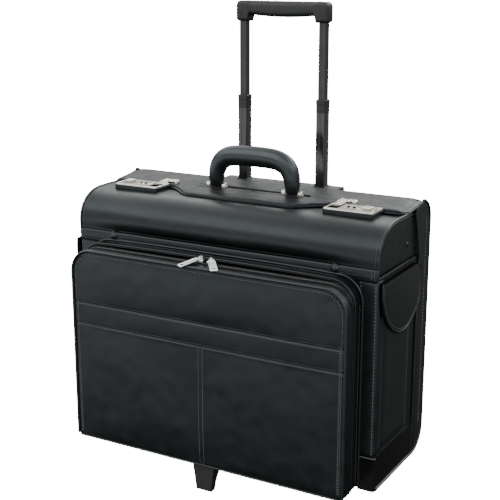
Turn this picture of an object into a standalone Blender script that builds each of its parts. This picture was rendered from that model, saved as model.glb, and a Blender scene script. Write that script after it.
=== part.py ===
"""Rolling laptop case: a rigid, leather-covered pilot case with a split top lid,
two combination locks, a padded carrying handle, a front organiser pocket, two
side pockets, a three-stage pull-out trolley, two rear wheels and a front foot.

Metres. +Z up, +X to the right seen from the front, -Y towards the front.
The lengths below are given in the case's own frame, whose y = 0 plane lies
about half way through the body; Y_SHIFT then centres the footprint.
"""

import math

import bmesh
import bpy
from mathutils import Matrix, Vector

# ---------------------------------------------------------------- dimensions
HALF_W = 0.2400          # half the width of the body
Y_FRONT = -0.0840        # body front face
Y_REAR = 0.0880          # body rear face
Z_BOTTOM = 0.0400        # underside of the base board
Z_SIDE_TOP = 0.3387      # top edge of the side panels, under the lid's end caps
Z_LID = 0.4037           # top surface of the front lid
Z_REAR_TOP = 0.4147      # top of the rear shoulder
WALL = 0.0060            # body wall
LID_WALL = 0.0050
GAP = 0.0003
CORNER_R = 0.0350        # rear bottom corner seen from the side
Y_SHIFT = 0.0147         # centres the footprint on the origin

LID_AXIS = (-0.0840, 0.3500)       # (y, z) of the front lid's hinge line
REAR_AXIS = (0.0580, 0.4147)       # (y, z) of the rear lid's hinge line
CAP_SWEEP_R = 0.1332               # side panel edge, swept round the lid hinge

POCKET_HALF = 0.2195
POCKET_FRONT = -0.1355
ZIP_Y = -0.1120
POCKET_TOP = 0.3318
COVER_AXIS = (-0.1335, 0.0420)
PULL_ROOT = (-0.1140, 0.3400)      # (y, z) of the bar that each zip pull swings on
PULL_LEFT = (-0.0110, -32.0)       # x of the slider, and how far its pull is turned
PULL_RIGHT = (0.0060, 38.0)
PULL_LENGTH = 0.0340
PULL_FALL = 0.270                  # slope of a pull that lies over the cover's top edge

SIDE_POCKET_X = 0.2448
SIDE_FLAP_AXIS = (0.2405, 0.3325)  # (x, z)

HANDLE_AXIS = (0.0150, 0.4120)     # (y, z)
LEG_X = 0.0625
LOCK_X0, LOCK_X1 = 0.1360, 0.2080
LOCK_Y0, LOCK_Y1 = -0.0365, -0.0008
LOCK_TOP = 0.4112
DIGIT_X = (0.1610, 0.1695, 0.1780)
DIGIT_AXIS = (-0.0180, 0.4087)
HASP_X = 0.1455
HASP_AXIS = (0.0022, 0.4126)

TUBE_X, TUBE_Y = 0.0654, 0.1040
COLLAR_TOP = 0.5374
GRIP_BOTTOM, GRIP_TOP = 0.6465, 0.6765
WHEEL_R = 0.0275
WHEEL_X = 0.1940
AXLE = (0.0880, 0.0275)            # (y, z)

# ---------------------------------------------------------------- scene
for obj in list(bpy.data.objects):
    bpy.data.objects.remove(obj, do_unlink=True)
for coll in list(bpy.data.collections):
    bpy.data.collections.remove(coll)

PARTS = bpy.data.collections.new("rolling_laptop_case")
CUTTERS = bpy.data.collections.new("cutters")
bpy.context.scene.collection.children.link(PARTS)
bpy.context.scene.collection.children.link(CUTTERS)


def material(name, colour, roughness, metallic=0.0):
    mat = bpy.data.materials.new(name)
    mat.use_nodes = True
    shader = mat.node_tree.nodes["Principled BSDF"]
    shader.inputs["Base Color"].default_value = (*colour, 1.0)
    shader.inputs["Roughness"].default_value = roughness
    shader.inputs["Metallic"].default_value = metallic
    mat.diffuse_color = (*colour, 1.0)
    return mat


LEATHER = (0.018, 0.021, 0.023)
NICKEL = (0.62, 0.58, 0.50)
PLASTIC = (0.020, 0.021, 0.023)


def adopt(obj, colour, roughness, metallic=0.0, smooth=None):
    """Gives the object its own material and puts it with the parts."""
    obj.data.materials.clear()
    obj.data.materials.append(
        material(obj.name + "_finish", colour, roughness, metallic)
    )
    if smooth is not None and obj.type == "MESH":
        obj.data.shade_smooth()
        obj.data.set_sharp_from_angle(angle=math.radians(smooth))
    for coll in list(obj.users_collection):
        coll.objects.unlink(obj)
    PARTS.objects.link(obj)
    return obj


def helper(obj):
    """Marks the object as a cutter, which is no part of the case."""
    for coll in list(obj.users_collection):
        coll.objects.unlink(obj)
    CUTTERS.objects.link(obj)
    obj.hide_render = True
    obj.display_type = "WIRE"
    return obj


def mesh_object(name, bm, location=(0, 0, 0)):
    bmesh.ops.recalc_face_normals(bm, faces=bm.faces)
    mesh = bpy.data.meshes.new(name)
    bm.to_mesh(mesh)
    bm.free()
    obj = bpy.data.objects.new(name, mesh)
    obj.location = location
    PARTS.objects.link(obj)
    return obj


def box(name, lo, hi, bevel=0.0, segments=2):
    """A box between two corners, its scale already in the mesh."""
    bm = bmesh.new()
    bmesh.ops.create_cube(bm, size=1.0)
    size = [b - a for a, b in zip(lo, hi)]
    mid = [(a + b) / 2 for a, b in zip(lo, hi)]
    bmesh.ops.scale(bm, vec=size, verts=bm.verts)
    obj = mesh_object(name, bm, mid)
    if bevel:
        mod = obj.modifiers.new("edges", "BEVEL")
        mod.width = bevel
        mod.segments = segments
        mod.limit_method = "ANGLE"
    return obj


def cylinder(name, radius, lo, hi, axis, sides=24):
    """A round bar from lo to hi along X, Y or Z."""
    bm = bmesh.new()
    length = (Vector(hi) - Vector(lo)).length
    bmesh.ops.create_cone(
        bm, cap_ends=True, segments=sides, radius1=radius, radius2=radius, depth=length
    )
    turn = {
        "x": Matrix.Rotation(math.pi / 2, 3, "Y"),
        "y": Matrix.Rotation(math.pi / 2, 3, "X"),
        "z": Matrix.Identity(3),
    }[axis]
    bmesh.ops.rotate(bm, matrix=turn, verts=bm.verts)
    return mesh_object(name, bm, (Vector(lo) + Vector(hi)) / 2)


def outline(name, loops, plane, a, b):
    """A flat outline (with holes) in a plane, given thickness from a to b.

    plane is "yz" (thickness along X), "xz" (along Y) or "xy" (along Z).
    """
    curve = bpy.data.curves.new(name, "CURVE")
    curve.dimensions = "2D"
    curve.fill_mode = "BOTH"
    curve.extrude = abs(b - a) / 2
    for loop in loops:
        spline = curve.splines.new("POLY")
        spline.points.add(len(loop) - 1)
        for point, (u, v) in zip(spline.points, loop):
            point.co = (u, v, 0.0, 1.0)
        spline.use_cyclic_u = True
    flat = bpy.data.objects.new(name + "_outline", curve)
    PARTS.objects.link(flat)
    mid = (a + b) / 2
    if plane == "yz":
        world = Matrix(((0, 0, 1, mid), (1, 0, 0, 0), (0, 1, 0, 0), (0, 0, 0, 1)))
    elif plane == "xz":
        world = Matrix(((1, 0, 0, 0), (0, 0, -1, mid), (0, 1, 0, 0), (0, 0, 0, 1)))
    else:
        world = Matrix.Translation((0, 0, mid))
    flat.matrix_world = world
    bpy.context.view_layer.update()
    graph = bpy.context.evaluated_depsgraph_get()
    mesh = bpy.data.meshes.new_from_object(flat.evaluated_get(graph))
    mesh.transform(world)
    bpy.data.objects.remove(flat, do_unlink=True)
    bm = bmesh.new()
    bm.from_mesh(mesh)
    bpy.data.meshes.remove(mesh)
    bmesh.ops.remove_doubles(bm, verts=bm.verts, dist=1e-6)
    return mesh_object(name, bm)


def turned(name, profile, axis, centre, steps=28):
    """A closed profile of (radius, height) turned round an axis through centre."""
    mesh = bpy.data.meshes.new(name)
    points = [(r, 0.0, h) for r, h in profile]
    mesh.from_pydata(points, [(i, (i + 1) % len(points)) for i in range(len(points))], [])
    obj = bpy.data.objects.new(name, mesh)
    PARTS.objects.link(obj)
    mod = obj.modifiers.new("turn", "SCREW")
    mod.axis = "Z"
    mod.steps = steps
    mod.render_steps = steps
    mod.use_merge_vertices = True
    mod.merge_threshold = 1e-5
    if axis == "x":
        obj.rotation_euler = (0.0, math.pi / 2, 0.0)
    elif axis == "-y":
        obj.rotation_euler = (math.pi / 2, 0.0, 0.0)
    obj.location = centre
    return obj


def boolean(obj, other, operation):
    mod = obj.modifiers.new(operation.lower(), "BOOLEAN")
    mod.operation = operation
    mod.object = other
    mod.solver = "EXACT"
    helper(other)
    return obj


def cut(obj, other):
    return boolean(obj, other, "DIFFERENCE")


def join(obj, other):
    return boolean(obj, other, "UNION")


def keep(obj, other):
    return boolean(obj, other, "INTERSECT")


def set_origin(obj, point):
    """Moves an object's origin onto a point without moving its shape."""
    bpy.context.view_layer.update()
    shift = obj.matrix_world.inverted() @ Vector(point)
    obj.data.transform(Matrix.Translation(-shift))
    obj.location = point
    bpy.context.view_layer.update()
    return obj


def arc(cy, cz, radius, start, stop, count):
    """Points on a circle, angles in degrees from +u towards +v."""
    out = []
    for i in range(count + 1):
        t = math.radians(start + (stop - start) * i / count)
        out.append((cy + radius * math.cos(t), cz + radius * math.sin(t)))
    return out


def mirror_u(points):
    """A half outline in u >= 0, closed by its own mirror image."""
    return points + [(-u, v) for u, v in reversed(points)]


def rounded_top(half, z0, z1, r, n=6):
    """An upright rectangle with round top corners."""
    right = [(half, z0)] + arc(half - r, z1 - r, r, 0, 90, n)
    return mirror_u(right)


# ---------------------------------------------------------------- body shell
INNER_X = HALF_W - WALL - GAP

# Base board: flat floor turned up into the rear face through the corner radius.
base_outer = [(Y_FRONT, Z_BOTTOM)] + arc(
    Y_REAR - CORNER_R, Z_BOTTOM + CORNER_R, CORNER_R, -90, 0, 8
)
base_inner = arc(
    Y_REAR - CORNER_R, Z_BOTTOM + CORNER_R, CORNER_R - WALL, 0, -90, 8
) + [(Y_FRONT, Z_BOTTOM + WALL)]
base = outline("base_board", [base_outer + base_inner], "yz", -INNER_X, INNER_X)

front = box(
    "front_panel",
    (-INNER_X, Y_FRONT, Z_BOTTOM + WALL + GAP),
    (INNER_X, Y_FRONT + WALL, Z_SIDE_TOP - 0.0005),
)
rear = box(
    "rear_panel",
    (-INNER_X, Y_REAR - WALL, Z_BOTTOM + CORNER_R + GAP),
    (INNER_X, Y_REAR, 0.3747),
)

# Rear shoulder: the rounded top rail that the rear lid folds from.
SHOULDER = arc(0.0583, Z_REAR_TOP - 0.0297, 0.0297, 0, 90, 7)
shoulder_in = arc(0.0583, Z_REAR_TOP - 0.0297, 0.0237, 90, 0, 7)
rail = outline(
    "rear_top_rail",
    [[(Y_REAR, 0.3750)] + SHOULDER + shoulder_in + [(Y_REAR - WALL, 0.3750)]],
    "yz",
    -INNER_X,
    INNER_X,
)

# Wheel arches cut the base board and the rear panel.
for side in (-1, 1):
    for target in (base, rear):
        notch = box(
            f"notch_{target.name}_{side}",
            (side * WHEEL_X - 0.0178, 0.0497, 0.0300),
            (side * WHEEL_X + 0.0178, 0.1000, 0.0853),
        )
        cut(target, notch)

# Side panels: one board each, with the step where the lid's end cap sits.
side_outline = (
    [(Y_FRONT, Z_BOTTOM)]
    + arc(Y_REAR - CORNER_R, Z_BOTTOM + CORNER_R, CORNER_R, -90, 0, 8)
    + SHOULDER
    + [(0.0583, Z_LID)]
)
ly, lz = LID_AXIS
top_angle = math.degrees(math.asin((Z_LID - lz) / CAP_SWEEP_R))
low_angle = math.degrees(math.asin((Z_SIDE_TOP - lz) / CAP_SWEEP_R))
side_outline += arc(ly, lz, CAP_SWEEP_R, top_angle, low_angle, 8)
side_outline += [(Y_FRONT, Z_SIDE_TOP)]
for label, side in (("left", -1), ("right", 1)):
    panel = outline(
        f"{label}_side_panel",
        [side_outline],
        "yz",
        side * (HALF_W - WALL),
        side * HALF_W,
    )
    adopt(panel, LEATHER, 0.45, smooth=35)
adopt(base, LEATHER, 0.5, smooth=35)
adopt(front, LEATHER, 0.45)
adopt(rear, LEATHER, 0.45)
adopt(rail, LEATHER, 0.45, smooth=35)

divider = box(
    "file_divider",
    (-0.2325, -0.0020, Z_BOTTOM + WALL + GAP),
    (0.2325, 0.0020, 0.3000),
)
adopt(divider, (0.05, 0.05, 0.055), 0.8)

# Hinge band across the front and its two domed studs.
strip = box(
    "hinge_strip", (-0.2385, -0.0865, 0.3323), (0.2385, Y_FRONT - GAP, 0.3489), 0.0006
)
adopt(strip, LEATHER, 0.4)
for label, side in (("left", -1), ("right", 1)):
    dome = [(0.0, 0.0)] + [(0.0060, 0.0)]
    dome = [(0.00001, 0.0030), (0.0028, 0.0027), (0.0048, 0.0018), (0.0060, 0.0),
            (0.00001, 0.0)]
    stud = turned(
        f"strip_stud_{label}", dome, "-y", (side * 0.1780, -0.0868, 0.3443), 20
    )
    adopt(stud, (0.02, 0.02, 0.02), 0.2)

# Glossy guards round the two lower front corners and along the sides.
for label, side in (("left", -1), ("right", 1)):
    loop = [
        (side * 0.2180, -0.0858),
        (side * 0.2418, -0.0858),
        (side * 0.2418, 0.0500),
        (side * 0.2403, 0.0500),
        (side * 0.2403, -0.0843),
        (side * 0.2180, -0.0843),
    ]
    guard = outline(f"corner_guard_{label}", [loop], "xy", 0.0385, 0.0870)
    adopt(guard, (0.01, 0.01, 0.011), 0.12)

# ---------------------------------------------------------------- front lid
lid_outer = [
    (-0.0837, 0.3390),
    (-0.0837, 0.3505),
    (-0.0848, 0.3590),
    (-0.0826, 0.3700),
    (-0.0768, 0.3830),
    (-0.0680, 0.3940),
    (-0.0556, 0.4010),
    (-0.0400, 0.4034),
    (-0.0315, Z_LID),
    (0.0100, Z_LID),
    (0.0300, 0.4005),
    (0.0360, 0.3890),
    (0.0480, 0.3390),
]
lid_inner = [
    (-0.0900, 0.3300),
    (-0.0900, 0.3503),
    (-0.0795, 0.3505),
    (-0.0798, 0.3590),
    (-0.0778, 0.3680),
    (-0.0724, 0.3802),
    (-0.0645, 0.3900),
    (-0.0540, 0.3962),
    (-0.0394, 0.3984),
    (-0.0315, Z_LID - LID_WALL),
    (0.0100, Z_LID - LID_WALL),
    (0.0320, 0.3953),
    (0.0700, 0.3953),
    (0.0700, 0.3300),
]
lid = outline("front_lid", [lid_outer], "yz", -(HALF_W - GAP), HALF_W - GAP)
cut(lid, outline("front_lid_hollow", [lid_inner], "yz", -0.2347, 0.2347))
adopt(lid, LEATHER, 0.4, smooth=35)
set_origin(lid, (0.0, *LID_AXIS))

# ---------------------------------------------------------------- rear lid
WING_IN = 0.1305
wing = [
    (0.0, 0.0268),
    (WING_IN, 0.0268),
    (WING_IN, 0.0000),
] + arc(HALF_W - GAP - 0.0150, 0.0150, 0.0150, -90, 0, 6) + [(HALF_W - GAP, 0.0577)]
rear_plan = mirror_u(wing)[0:]
rear_lid = outline("rear_lid", [rear_plan], "xy", 0.3900, 0.4300)
rear_section = [
    (-0.0100, 0.4040),
    (0.0700, 0.4040),
    (0.0700, Z_REAR_TOP),
    (0.0577, Z_REAR_TOP),
    (0.0400, 0.4133),
    (0.0150, 0.4108),
    (0.0000, 0.4090),
    (-0.0100, 0.4078),
]
keep(rear_lid, outline("rear_lid_section", [rear_section], "yz", -0.30, 0.30))
adopt(rear_lid, LEATHER, 0.4)
set_origin(rear_lid, (0.0, *REAR_AXIS))

# Soft leather tab in the middle of the rear lid, with the slit for the handle.
tab_loop = [
    (-0.1302, -0.0020),
    (-0.0850, -0.0330),
    (0.0850, -0.0330),
    (0.1302, -0.0020),
    (0.1302, 0.0265),
    (-0.1302, 0.0265),
]
slit = [(-0.0920, 0.0085), (0.0920, 0.0085), (0.0920, 0.0225), (-0.0920, 0.0225)]
tab = outline("handle_tab", [tab_loop, slit], "xy", 0.4040, 0.4070)
adopt(tab, LEATHER, 0.4)
set_origin(tab, (0.0, *REAR_AXIS))

# ---------------------------------------------------------------- handle
hy, hz = HANDLE_AXIS
for label, side in (("left", -1), ("right", 1)):
    lo, hi = LEG_X - 0.0165, LEG_X + 0.0165
    u_shape = [
        (lo, 0.4040), (hi, 0.4040), (hi, 0.4165), (LEG_X + 0.0098, 0.4165),
        (LEG_X + 0.0098, 0.4060), (LEG_X - 0.0098, 0.4060),
        (LEG_X - 0.0098, 0.4165), (lo, 0.4165),
    ]
    bracket = outline(
        f"handle_bracket_{label}",
        [[(side * u, v) for u, v in u_shape]],
        "xz",
        hy - 0.0035,
        hy + 0.0035,
    )
    join(
        bracket,
        cylinder(
            f"handle_pin_{label}",
            0.0018,
            (side * LEG_X - 0.0120, hy, hz),
            (side * LEG_X + 0.0120, hy, hz),
            "x",
            16,
        ),
    )
    adopt(bracket, NICKEL, 0.3, 1.0)

OUT_X = 0.0765
half_handle = (
    [(LEG_X - 0.0090, hz - 0.0045), (LEG_X + 0.0090, hz - 0.0045),
     (LEG_X + 0.0090, 0.4185), (OUT_X - 0.0015, 0.4250), (OUT_X, 0.4350)]
    + arc(OUT_X - 0.0320, 0.4440, 0.0320, 0, 90, 9)
)
inner_handle = (
    [(0.0, 0.4476)]
    + arc(0.0350, 0.4296, 0.0180, 90, 0, 7)
    + [(LEG_X - 0.0125, 0.4225), (LEG_X - 0.0090, 0.4185)]
)
handle_loop = half_handle + [(0.0, 0.4760)]
handle_loop = handle_loop + [(-u, v) for u, v in reversed(half_handle)]
handle_loop = handle_loop + [(-u, v) for u, v in reversed(inner_handle)][:-1]
handle_loop = handle_loop + inner_handle
handle = outline("handle_grip", [handle_loop], "xz", hy - 0.0200, hy + 0.0200)
handle_side = [
    (hy - 0.0045, hz + 0.0070),
    (hy - 0.0085, hz + 0.0130),
    (hy - 0.0105, hz + 0.0280),
    (hy - 0.0130, hz + 0.0400),
    (hy - 0.0135, hz + 0.0500),
    (hy - 0.0110, hz + 0.0600),
    (hy - 0.0050, hz + 0.0650),
]
handle_side = (
    [(hy + u, hz - v) for u, v in ((0.0, 0.0046), (-0.0032, 0.0034), (-0.0045, 0.0))]
    + handle_side
)
handle_side = handle_side + [(2 * hy - u, v) for u, v in reversed(handle_side[1:])]
keep(handle, outline("handle_grip_side", [handle_side], "yz", -0.10, 0.10))
cut(
    handle,
    cylinder("handle_pin_hole", 0.0021, (-0.10, hy, hz), (0.10, hy, hz), "x", 16),
)
adopt(handle, LEATHER, 0.45, smooth=40)
set_origin(handle, (0.0, hy, hz))

# ---------------------------------------------------------------- locks
dy, dz = DIGIT_AXIS
ay, az = HASP_AXIS


def span(side, a, b):
    return (min(side * a, side * b), max(side * a, side * b))


for label, side in (("left", -1), ("right", 1)):
    x0, x1 = span(side, LOCK_X0, LOCK_X1)
    body = box(
        f"lock_body_{label}", (x0, LOCK_Y0, 0.4040), (x1, LOCK_Y1, LOCK_TOP)
    )
    for i, x in enumerate(DIGIT_X):
        a, b = span(side, x - 0.0024, x + 0.0024)
        cut(body, box(f"digit_window_{label}_{i}", (a, dy - 0.0046, 0.4000), (b, dy + 0.0046, 0.4200)))
    a, b = span(side, HASP_X - 0.0060, HASP_X + 0.0060)
    cut(body, box(f"hasp_slot_{label}", (a, -0.0200, 0.4052), (b, -0.0105, 0.4200)))
    a, b = span(side, 0.1870, 0.2062)
    cut(body, box(f"slide_slot_{label}", (a, -0.0245, 0.4078), (b, -0.0115, 0.4200)))
    a, b = span(side, DIGIT_X[0] - 0.0040, DIGIT_X[2] + 0.0040)
    join(body, cylinder(f"digit_pin_{label}", 0.0009, (a, dy, dz), (b, dy, dz), "x", 12))
    adopt(body, NICKEL, 0.3, 1.0)

    for i, x in enumerate(DIGIT_X):
        wheel_profile = [
            (0.0012, 0.0020), (0.0038, 0.0020), (0.0042, 0.0016),
            (0.0042, -0.0016), (0.0038, -0.0020), (0.0012, -0.0020),
        ]
        digit = turned(
            f"digit_wheel_{label}_{i + 1}", wheel_profile, "x", (side * x, dy, dz), 20
        )
        adopt(digit, NICKEL, 0.35, 1.0)

    a, b = span(side, 0.1876, 0.2000)
    slide = box(
        f"lock_slide_{label}", (a, -0.0238, 0.4081), (b, -0.0122, 0.4150), 0.0008
    )
    adopt(slide, NICKEL, 0.3, 1.0)

    a, b = span(side, HASP_X - 0.0090, HASP_X + 0.0090)
    plate = box(f"hasp_plate_{label}", (a, 0.0060, 0.4120), (b, 0.0205, 0.4133), 0.0004, 1)
    a, b = span(side, HASP_X - 0.0030, HASP_X + 0.0030)
    join(plate, cylinder(f"hasp_knuckle_{label}", 0.0018, (a, ay, az), (b, ay, az), "x", 16))
    join(plate, box(f"hasp_web_{label}", (a, ay + 0.0001, 0.4121), (b, 0.0100, 0.4132)))
    a, b = span(side, HASP_X - 0.0068, HASP_X + 0.0068)
    join(plate, cylinder(f"hasp_pin_{label}", 0.0008, (a, ay, az), (b, ay, az), "x", 12))
    adopt(plate, NICKEL, 0.3, 1.0)

    a, b = span(side, HASP_X - 0.0066, HASP_X + 0.0066)
    hasp = box(f"hasp_{label}", (a, -0.0170, 0.4119), (b, -0.0005, 0.4132), 0.0004, 1)
    for end, e0, e1 in (("in", -0.0065, -0.0034), ("out", 0.0034, 0.0065)):
        a, b = span(side, HASP_X + e0, HASP_X + e1)
        join(hasp, cylinder(f"hasp_ear_{label}_{end}", 0.0018, (a, ay, az), (b, ay, az), "x", 16))
        join(hasp, box(f"hasp_arm_{label}_{end}", (a, -0.0020, 0.4120), (b, ay, 0.4131)))
        cut(hasp, cylinder(f"hasp_bore_{label}_{end}", 0.0011, (a - 0.001, ay, az), (b + 0.001, ay, az), "x", 12))
    a, b = span(side, HASP_X - 0.0040, HASP_X + 0.0040)
    join(hasp, box(f"hasp_hook_{label}", (a, -0.0168, 0.4062), (b, -0.0146, 0.4125)))
    adopt(hasp, NICKEL, 0.3, 1.0)
    set_origin(hasp, (side * HASP_X, ay, az))

# ---------------------------------------------------------------- front pocket
gusset = outline(
    "pocket_gusset",
    [
        rounded_top(0.2170, 0.0403, 0.3360, 0.0340),
        rounded_top(0.2140, 0.0433, 0.3330, 0.0310),
    ],
    "xz",
    ZIP_Y + 0.0022,
    Y_FRONT - GAP,
)
cut(gusset, box("hinge_strip_notch", (-0.2388, -0.0868, 0.3320), (0.2388, -0.0800, 0.3500)))
join(gusset, box("pocket_floor", (-0.2170, -0.1300, 0.0403), (0.2170, ZIP_Y + 0.0035, 0.0433)))
adopt(gusset, LEATHER, 0.45)

cover_outline = rounded_top(POCKET_HALF, 0.0440, POCKET_TOP, 0.0350)
cover = outline("pocket_cover", [cover_outline], "xz", POCKET_FRONT, ZIP_Y - 0.0010)
cover_bevel = cover.modifiers.new("front_edge", "BEVEL")
cover_bevel.width = 0.0075
cover_bevel.segments = 2
cover_bevel.limit_method = "WEIGHT"
weights = cover.data.attributes.new("bevel_weight_edge", "FLOAT", "EDGE")
for edge in cover.data.edges:
    a, b = (cover.data.vertices[i].co for i in edge.vertices)
    on_front = abs(a.y - POCKET_FRONT) < 1e-5 and abs(b.y - POCKET_FRONT) < 1e-5
    at_rim = all(
        abs(c.x) > POCKET_HALF - 0.036 and c.z > POCKET_TOP - 0.036
        or abs(abs(c.x) - POCKET_HALF) < 1e-5
        or abs(c.z - POCKET_TOP) < 1e-5
        for c in (a, b)
    )
    inside = (
        abs(a.x - b.x) > 0.30 and abs(a.z - b.z) > 0.01
        or min(a.z, b.z) < 0.05 and abs(a.x - b.x) > 0.01
    )
    if on_front and at_rim and not inside:
        weights.data[edge.index].value = 1.0
cut(
    cover,
    outline(
        "pocket_cover_hollow",
        [rounded_top(POCKET_HALF - 0.0040, 0.0470, POCKET_TOP - 0.0040, 0.0310)],
        "xz",
        POCKET_FRONT + 0.0040,
        -0.0900,
    ),
)
adopt(cover, LEATHER, 0.42)
set_origin(cover, (0.0, *COVER_AXIS))

# Zipper coil, in the slot between the gusset and the cover.
coil_out = rounded_top(0.2158, 0.0500, 0.3332, 0.0328)
coil_in = rounded_top(0.2140, 0.0500, 0.3314, 0.0310)
coil = outline("zipper_coil", [coil_out + coil_in[::-1]], "xz", ZIP_Y - 0.0006, ZIP_Y + 0.0006)
adopt(coil, (0.01, 0.01, 0.01), 0.35)

for label, side, x, turn in (("left", -1, *PULL_LEFT), ("right", 1, *PULL_RIGHT)):
    slider = box(
        f"zip_slider_{label}", (x - 0.0048, ZIP_Y - 0.0056, 0.3336), (x + 0.0048, ZIP_Y + 0.0018, 0.3368),
        0.0010,
    )
    # Bridge: a small arch over the bar at the root of the pull.
    root = Vector((x, *PULL_ROOT))
    fall = PULL_FALL * math.cos(math.radians(turn))
    run = PULL_LENGTH / math.hypot(1.0, fall)
    tip = root + Vector((
        run * math.sin(math.radians(turn)), -run * math.cos(math.radians(turn)), -run * fall
    ))
    along = (tip - root).normalized()
    level = Vector((along.x, along.y, 0.0)).normalized()
    side_way = level.cross(Vector((0, 0, 1)))
    arch = [(-0.0024, -0.0036), (-0.0024, 0.0026), (0.0024, 0.0026), (0.0024, -0.0036),
            (0.0013, -0.0036), (0.0013, 0.0014), (-0.0013, 0.0014), (-0.0013, -0.0036)]
    bridge = outline(f"zip_slider_bridge_{label}", [arch], "xy", -0.0009, 0.0009)
    bridge.data.transform(Matrix((
        (level.x, 0.0, side_way.x, root.x),
        (level.y, 0.0, side_way.y, root.y),
        (0.0, 1.0, 0.0, root.z),
        (0, 0, 0, 1),
    )))
    join(slider, bridge)
    adopt(slider, NICKEL, 0.3, 1.0)
    # Pull: a tapered plate that swings on its root bar, with a slot near its tip.
    length = (tip - root).length
    across = along.cross(Vector((0, 0, 1))).normalized()
    normal = along.cross(across)
    loop = [(-0.0007, -0.0034), (0.0060, -0.0038), (0.0095, -0.0050), (length, -0.0052),
            (length, 0.0052), (0.0095, 0.0050), (0.0060, 0.0038), (-0.0007, 0.0034)]
    hook = [(0.0007, -0.0022), (0.0050, -0.0022), (0.0050, 0.0022), (0.0007, 0.0022)]
    slot = [(length - 0.0065, -0.0026), (length - 0.0035, -0.0026),
            (length - 0.0035, 0.0026), (length - 0.0065, 0.0026)]
    tab_plate = outline(f"zip_pull_{label}", [loop, hook, slot], "xy", -0.0005, 0.0005)
    frame = Matrix((
        (along.x, across.x, normal.x, root.x),
        (along.y, across.y, normal.y, root.y),
        (along.z, across.z, normal.z, root.z),
        (0, 0, 0, 1),
    ))
    tab_plate.data.transform(frame)
    adopt(tab_plate, NICKEL, 0.3, 1.0)
    set_origin(tab_plate, root)

# ---------------------------------------------------------------- side pockets
for label, side in (("left", -1), ("right", 1)):
    x0, x1 = span(side, HALF_W + GAP, SIDE_POCKET_X)
    pocket = box(f"side_pocket_{label}", (x0, -0.0760, 0.0900), (x1, 0.0250, 0.3300))
    x0, x1 = span(side, HALF_W - 0.01, SIDE_POCKET_X - 0.0014)
    cut(pocket, box(f"side_pocket_hollow_{label}", (x0, -0.0740, 0.0925), (x1, 0.0230, 0.3600)))
    adopt(pocket, LEATHER, 0.45)

    flap_loop = [
        (-0.0845, 0.3325), (-0.0855, 0.3185), (-0.0840, 0.3046), (-0.0743, 0.2841),
        (-0.0575, 0.2668), (-0.0391, 0.2557), (-0.0207, 0.2495), (0.0011, 0.2492),
        (0.0191, 0.2555), (0.0351, 0.2654), (0.0470, 0.2796), (0.0515, 0.2972),
        (0.0488, 0.3183), (0.0410, 0.3325),
    ]
    x0, x1 = span(side, SIDE_POCKET_X + 0.0004, SIDE_POCKET_X + 0.0018)
    flap = outline(f"side_flap_{label}", [flap_loop], "yz", x0, x1)
    x0, x1 = span(side, HALF_W + 0.0006, SIDE_POCKET_X + 0.0016)
    join(flap, box(f"side_flap_top_{label}", (x0, -0.0845, 0.3309), (x1, 0.0410, 0.3325)))
    adopt(flap, LEATHER, 0.45)
    set_origin(flap, (side * SIDE_FLAP_AXIS[0], 0.0, SIDE_FLAP_AXIS[1]))

# ---------------------------------------------------------------- trolley
trolley_cover = box("trolley_cover", (-0.0975, Y_REAR + GAP, 0.0600), (0.0975, 0.1155, 0.4030))
cut(trolley_cover, box("trolley_cover_hollow", (-0.0960, 0.0800, 0.0615), (0.0960, 0.1140, 0.4200)))
adopt(trolley_cover, PLASTIC, 0.45)

bezel = box("trolley_bezel", (-0.0975, 0.0920, 0.4033), (0.0975, 0.1155, 0.4090))
for side in (-1, 1):
    cut(bezel, box(
        f"bezel_hole_{side}",
        (side * TUBE_X - 0.0077, TUBE_Y - 0.0087, 0.39),
        (side * TUBE_X + 0.0077, TUBE_Y + 0.0087, 0.42),
    ))
adopt(bezel, PLASTIC, 0.4)


def tube(name, x, half_x, half_y, in_x, in_y, z0, z1):
    ring = [(x - half_x, TUBE_Y - half_y), (x + half_x, TUBE_Y - half_y),
            (x + half_x, TUBE_Y + half_y), (x - half_x, TUBE_Y + half_y)]
    hole = [(x - in_x, TUBE_Y - in_y), (x + in_x, TUBE_Y - in_y),
            (x + in_x, TUBE_Y + in_y), (x - in_x, TUBE_Y + in_y)]
    return outline(name, [ring, hole], "xy", z0, z1)


for label, side in (("left", -1), ("right", 1)):
    x = side * TUBE_X
    adopt(tube(f"outer_tube_{label}", x, 0.0085, 0.0095, 0.0075, 0.0085, 0.0620, 0.4028),
          (0.03, 0.03, 0.03), 0.35)
    mid = tube(f"mid_tube_{label}", x, 0.0072, 0.0082, 0.0063, 0.0066, 0.2000, 0.5370)
    join(mid, tube(f"mid_collar_{label}", x, 0.0079, 0.0089, 0.0063, 0.0066, 0.5300, COLLAR_TOP))
    adopt(mid, (0.02, 0.02, 0.02), 0.3)
    adopt(tube(f"inner_tube_{label}", x, 0.0060, 0.0060, 0.0050, 0.0050, 0.3300, 0.6500),
          (0.02, 0.02, 0.02), 0.3)

half_grip = [
    (0.0, 0.6532),
    (0.0300, 0.6545),
    (0.0530, 0.6560),
    (0.0560, GRIP_BOTTOM),
    (0.0745, GRIP_BOTTOM),
    (0.0755, 0.6520),
] + arc(0.0665, 0.6675, 0.0090, 0, 90, 6)
grip_loop = half_grip + [(-u, v) for u, v in reversed(half_grip[1:])]
grip = outline("trolley_grip", [grip_loop], "xz", 0.0930, 0.1150)
for side in (-1, 1):
    cut(grip, box(
        f"grip_socket_{side}",
        (side * TUBE_X - 0.0063, TUBE_Y - 0.0063, 0.64),
        (side * TUBE_X + 0.0063, TUBE_Y + 0.0063, 0.6505),
    ))
adopt(grip, PLASTIC, 0.5, smooth=35)

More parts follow.
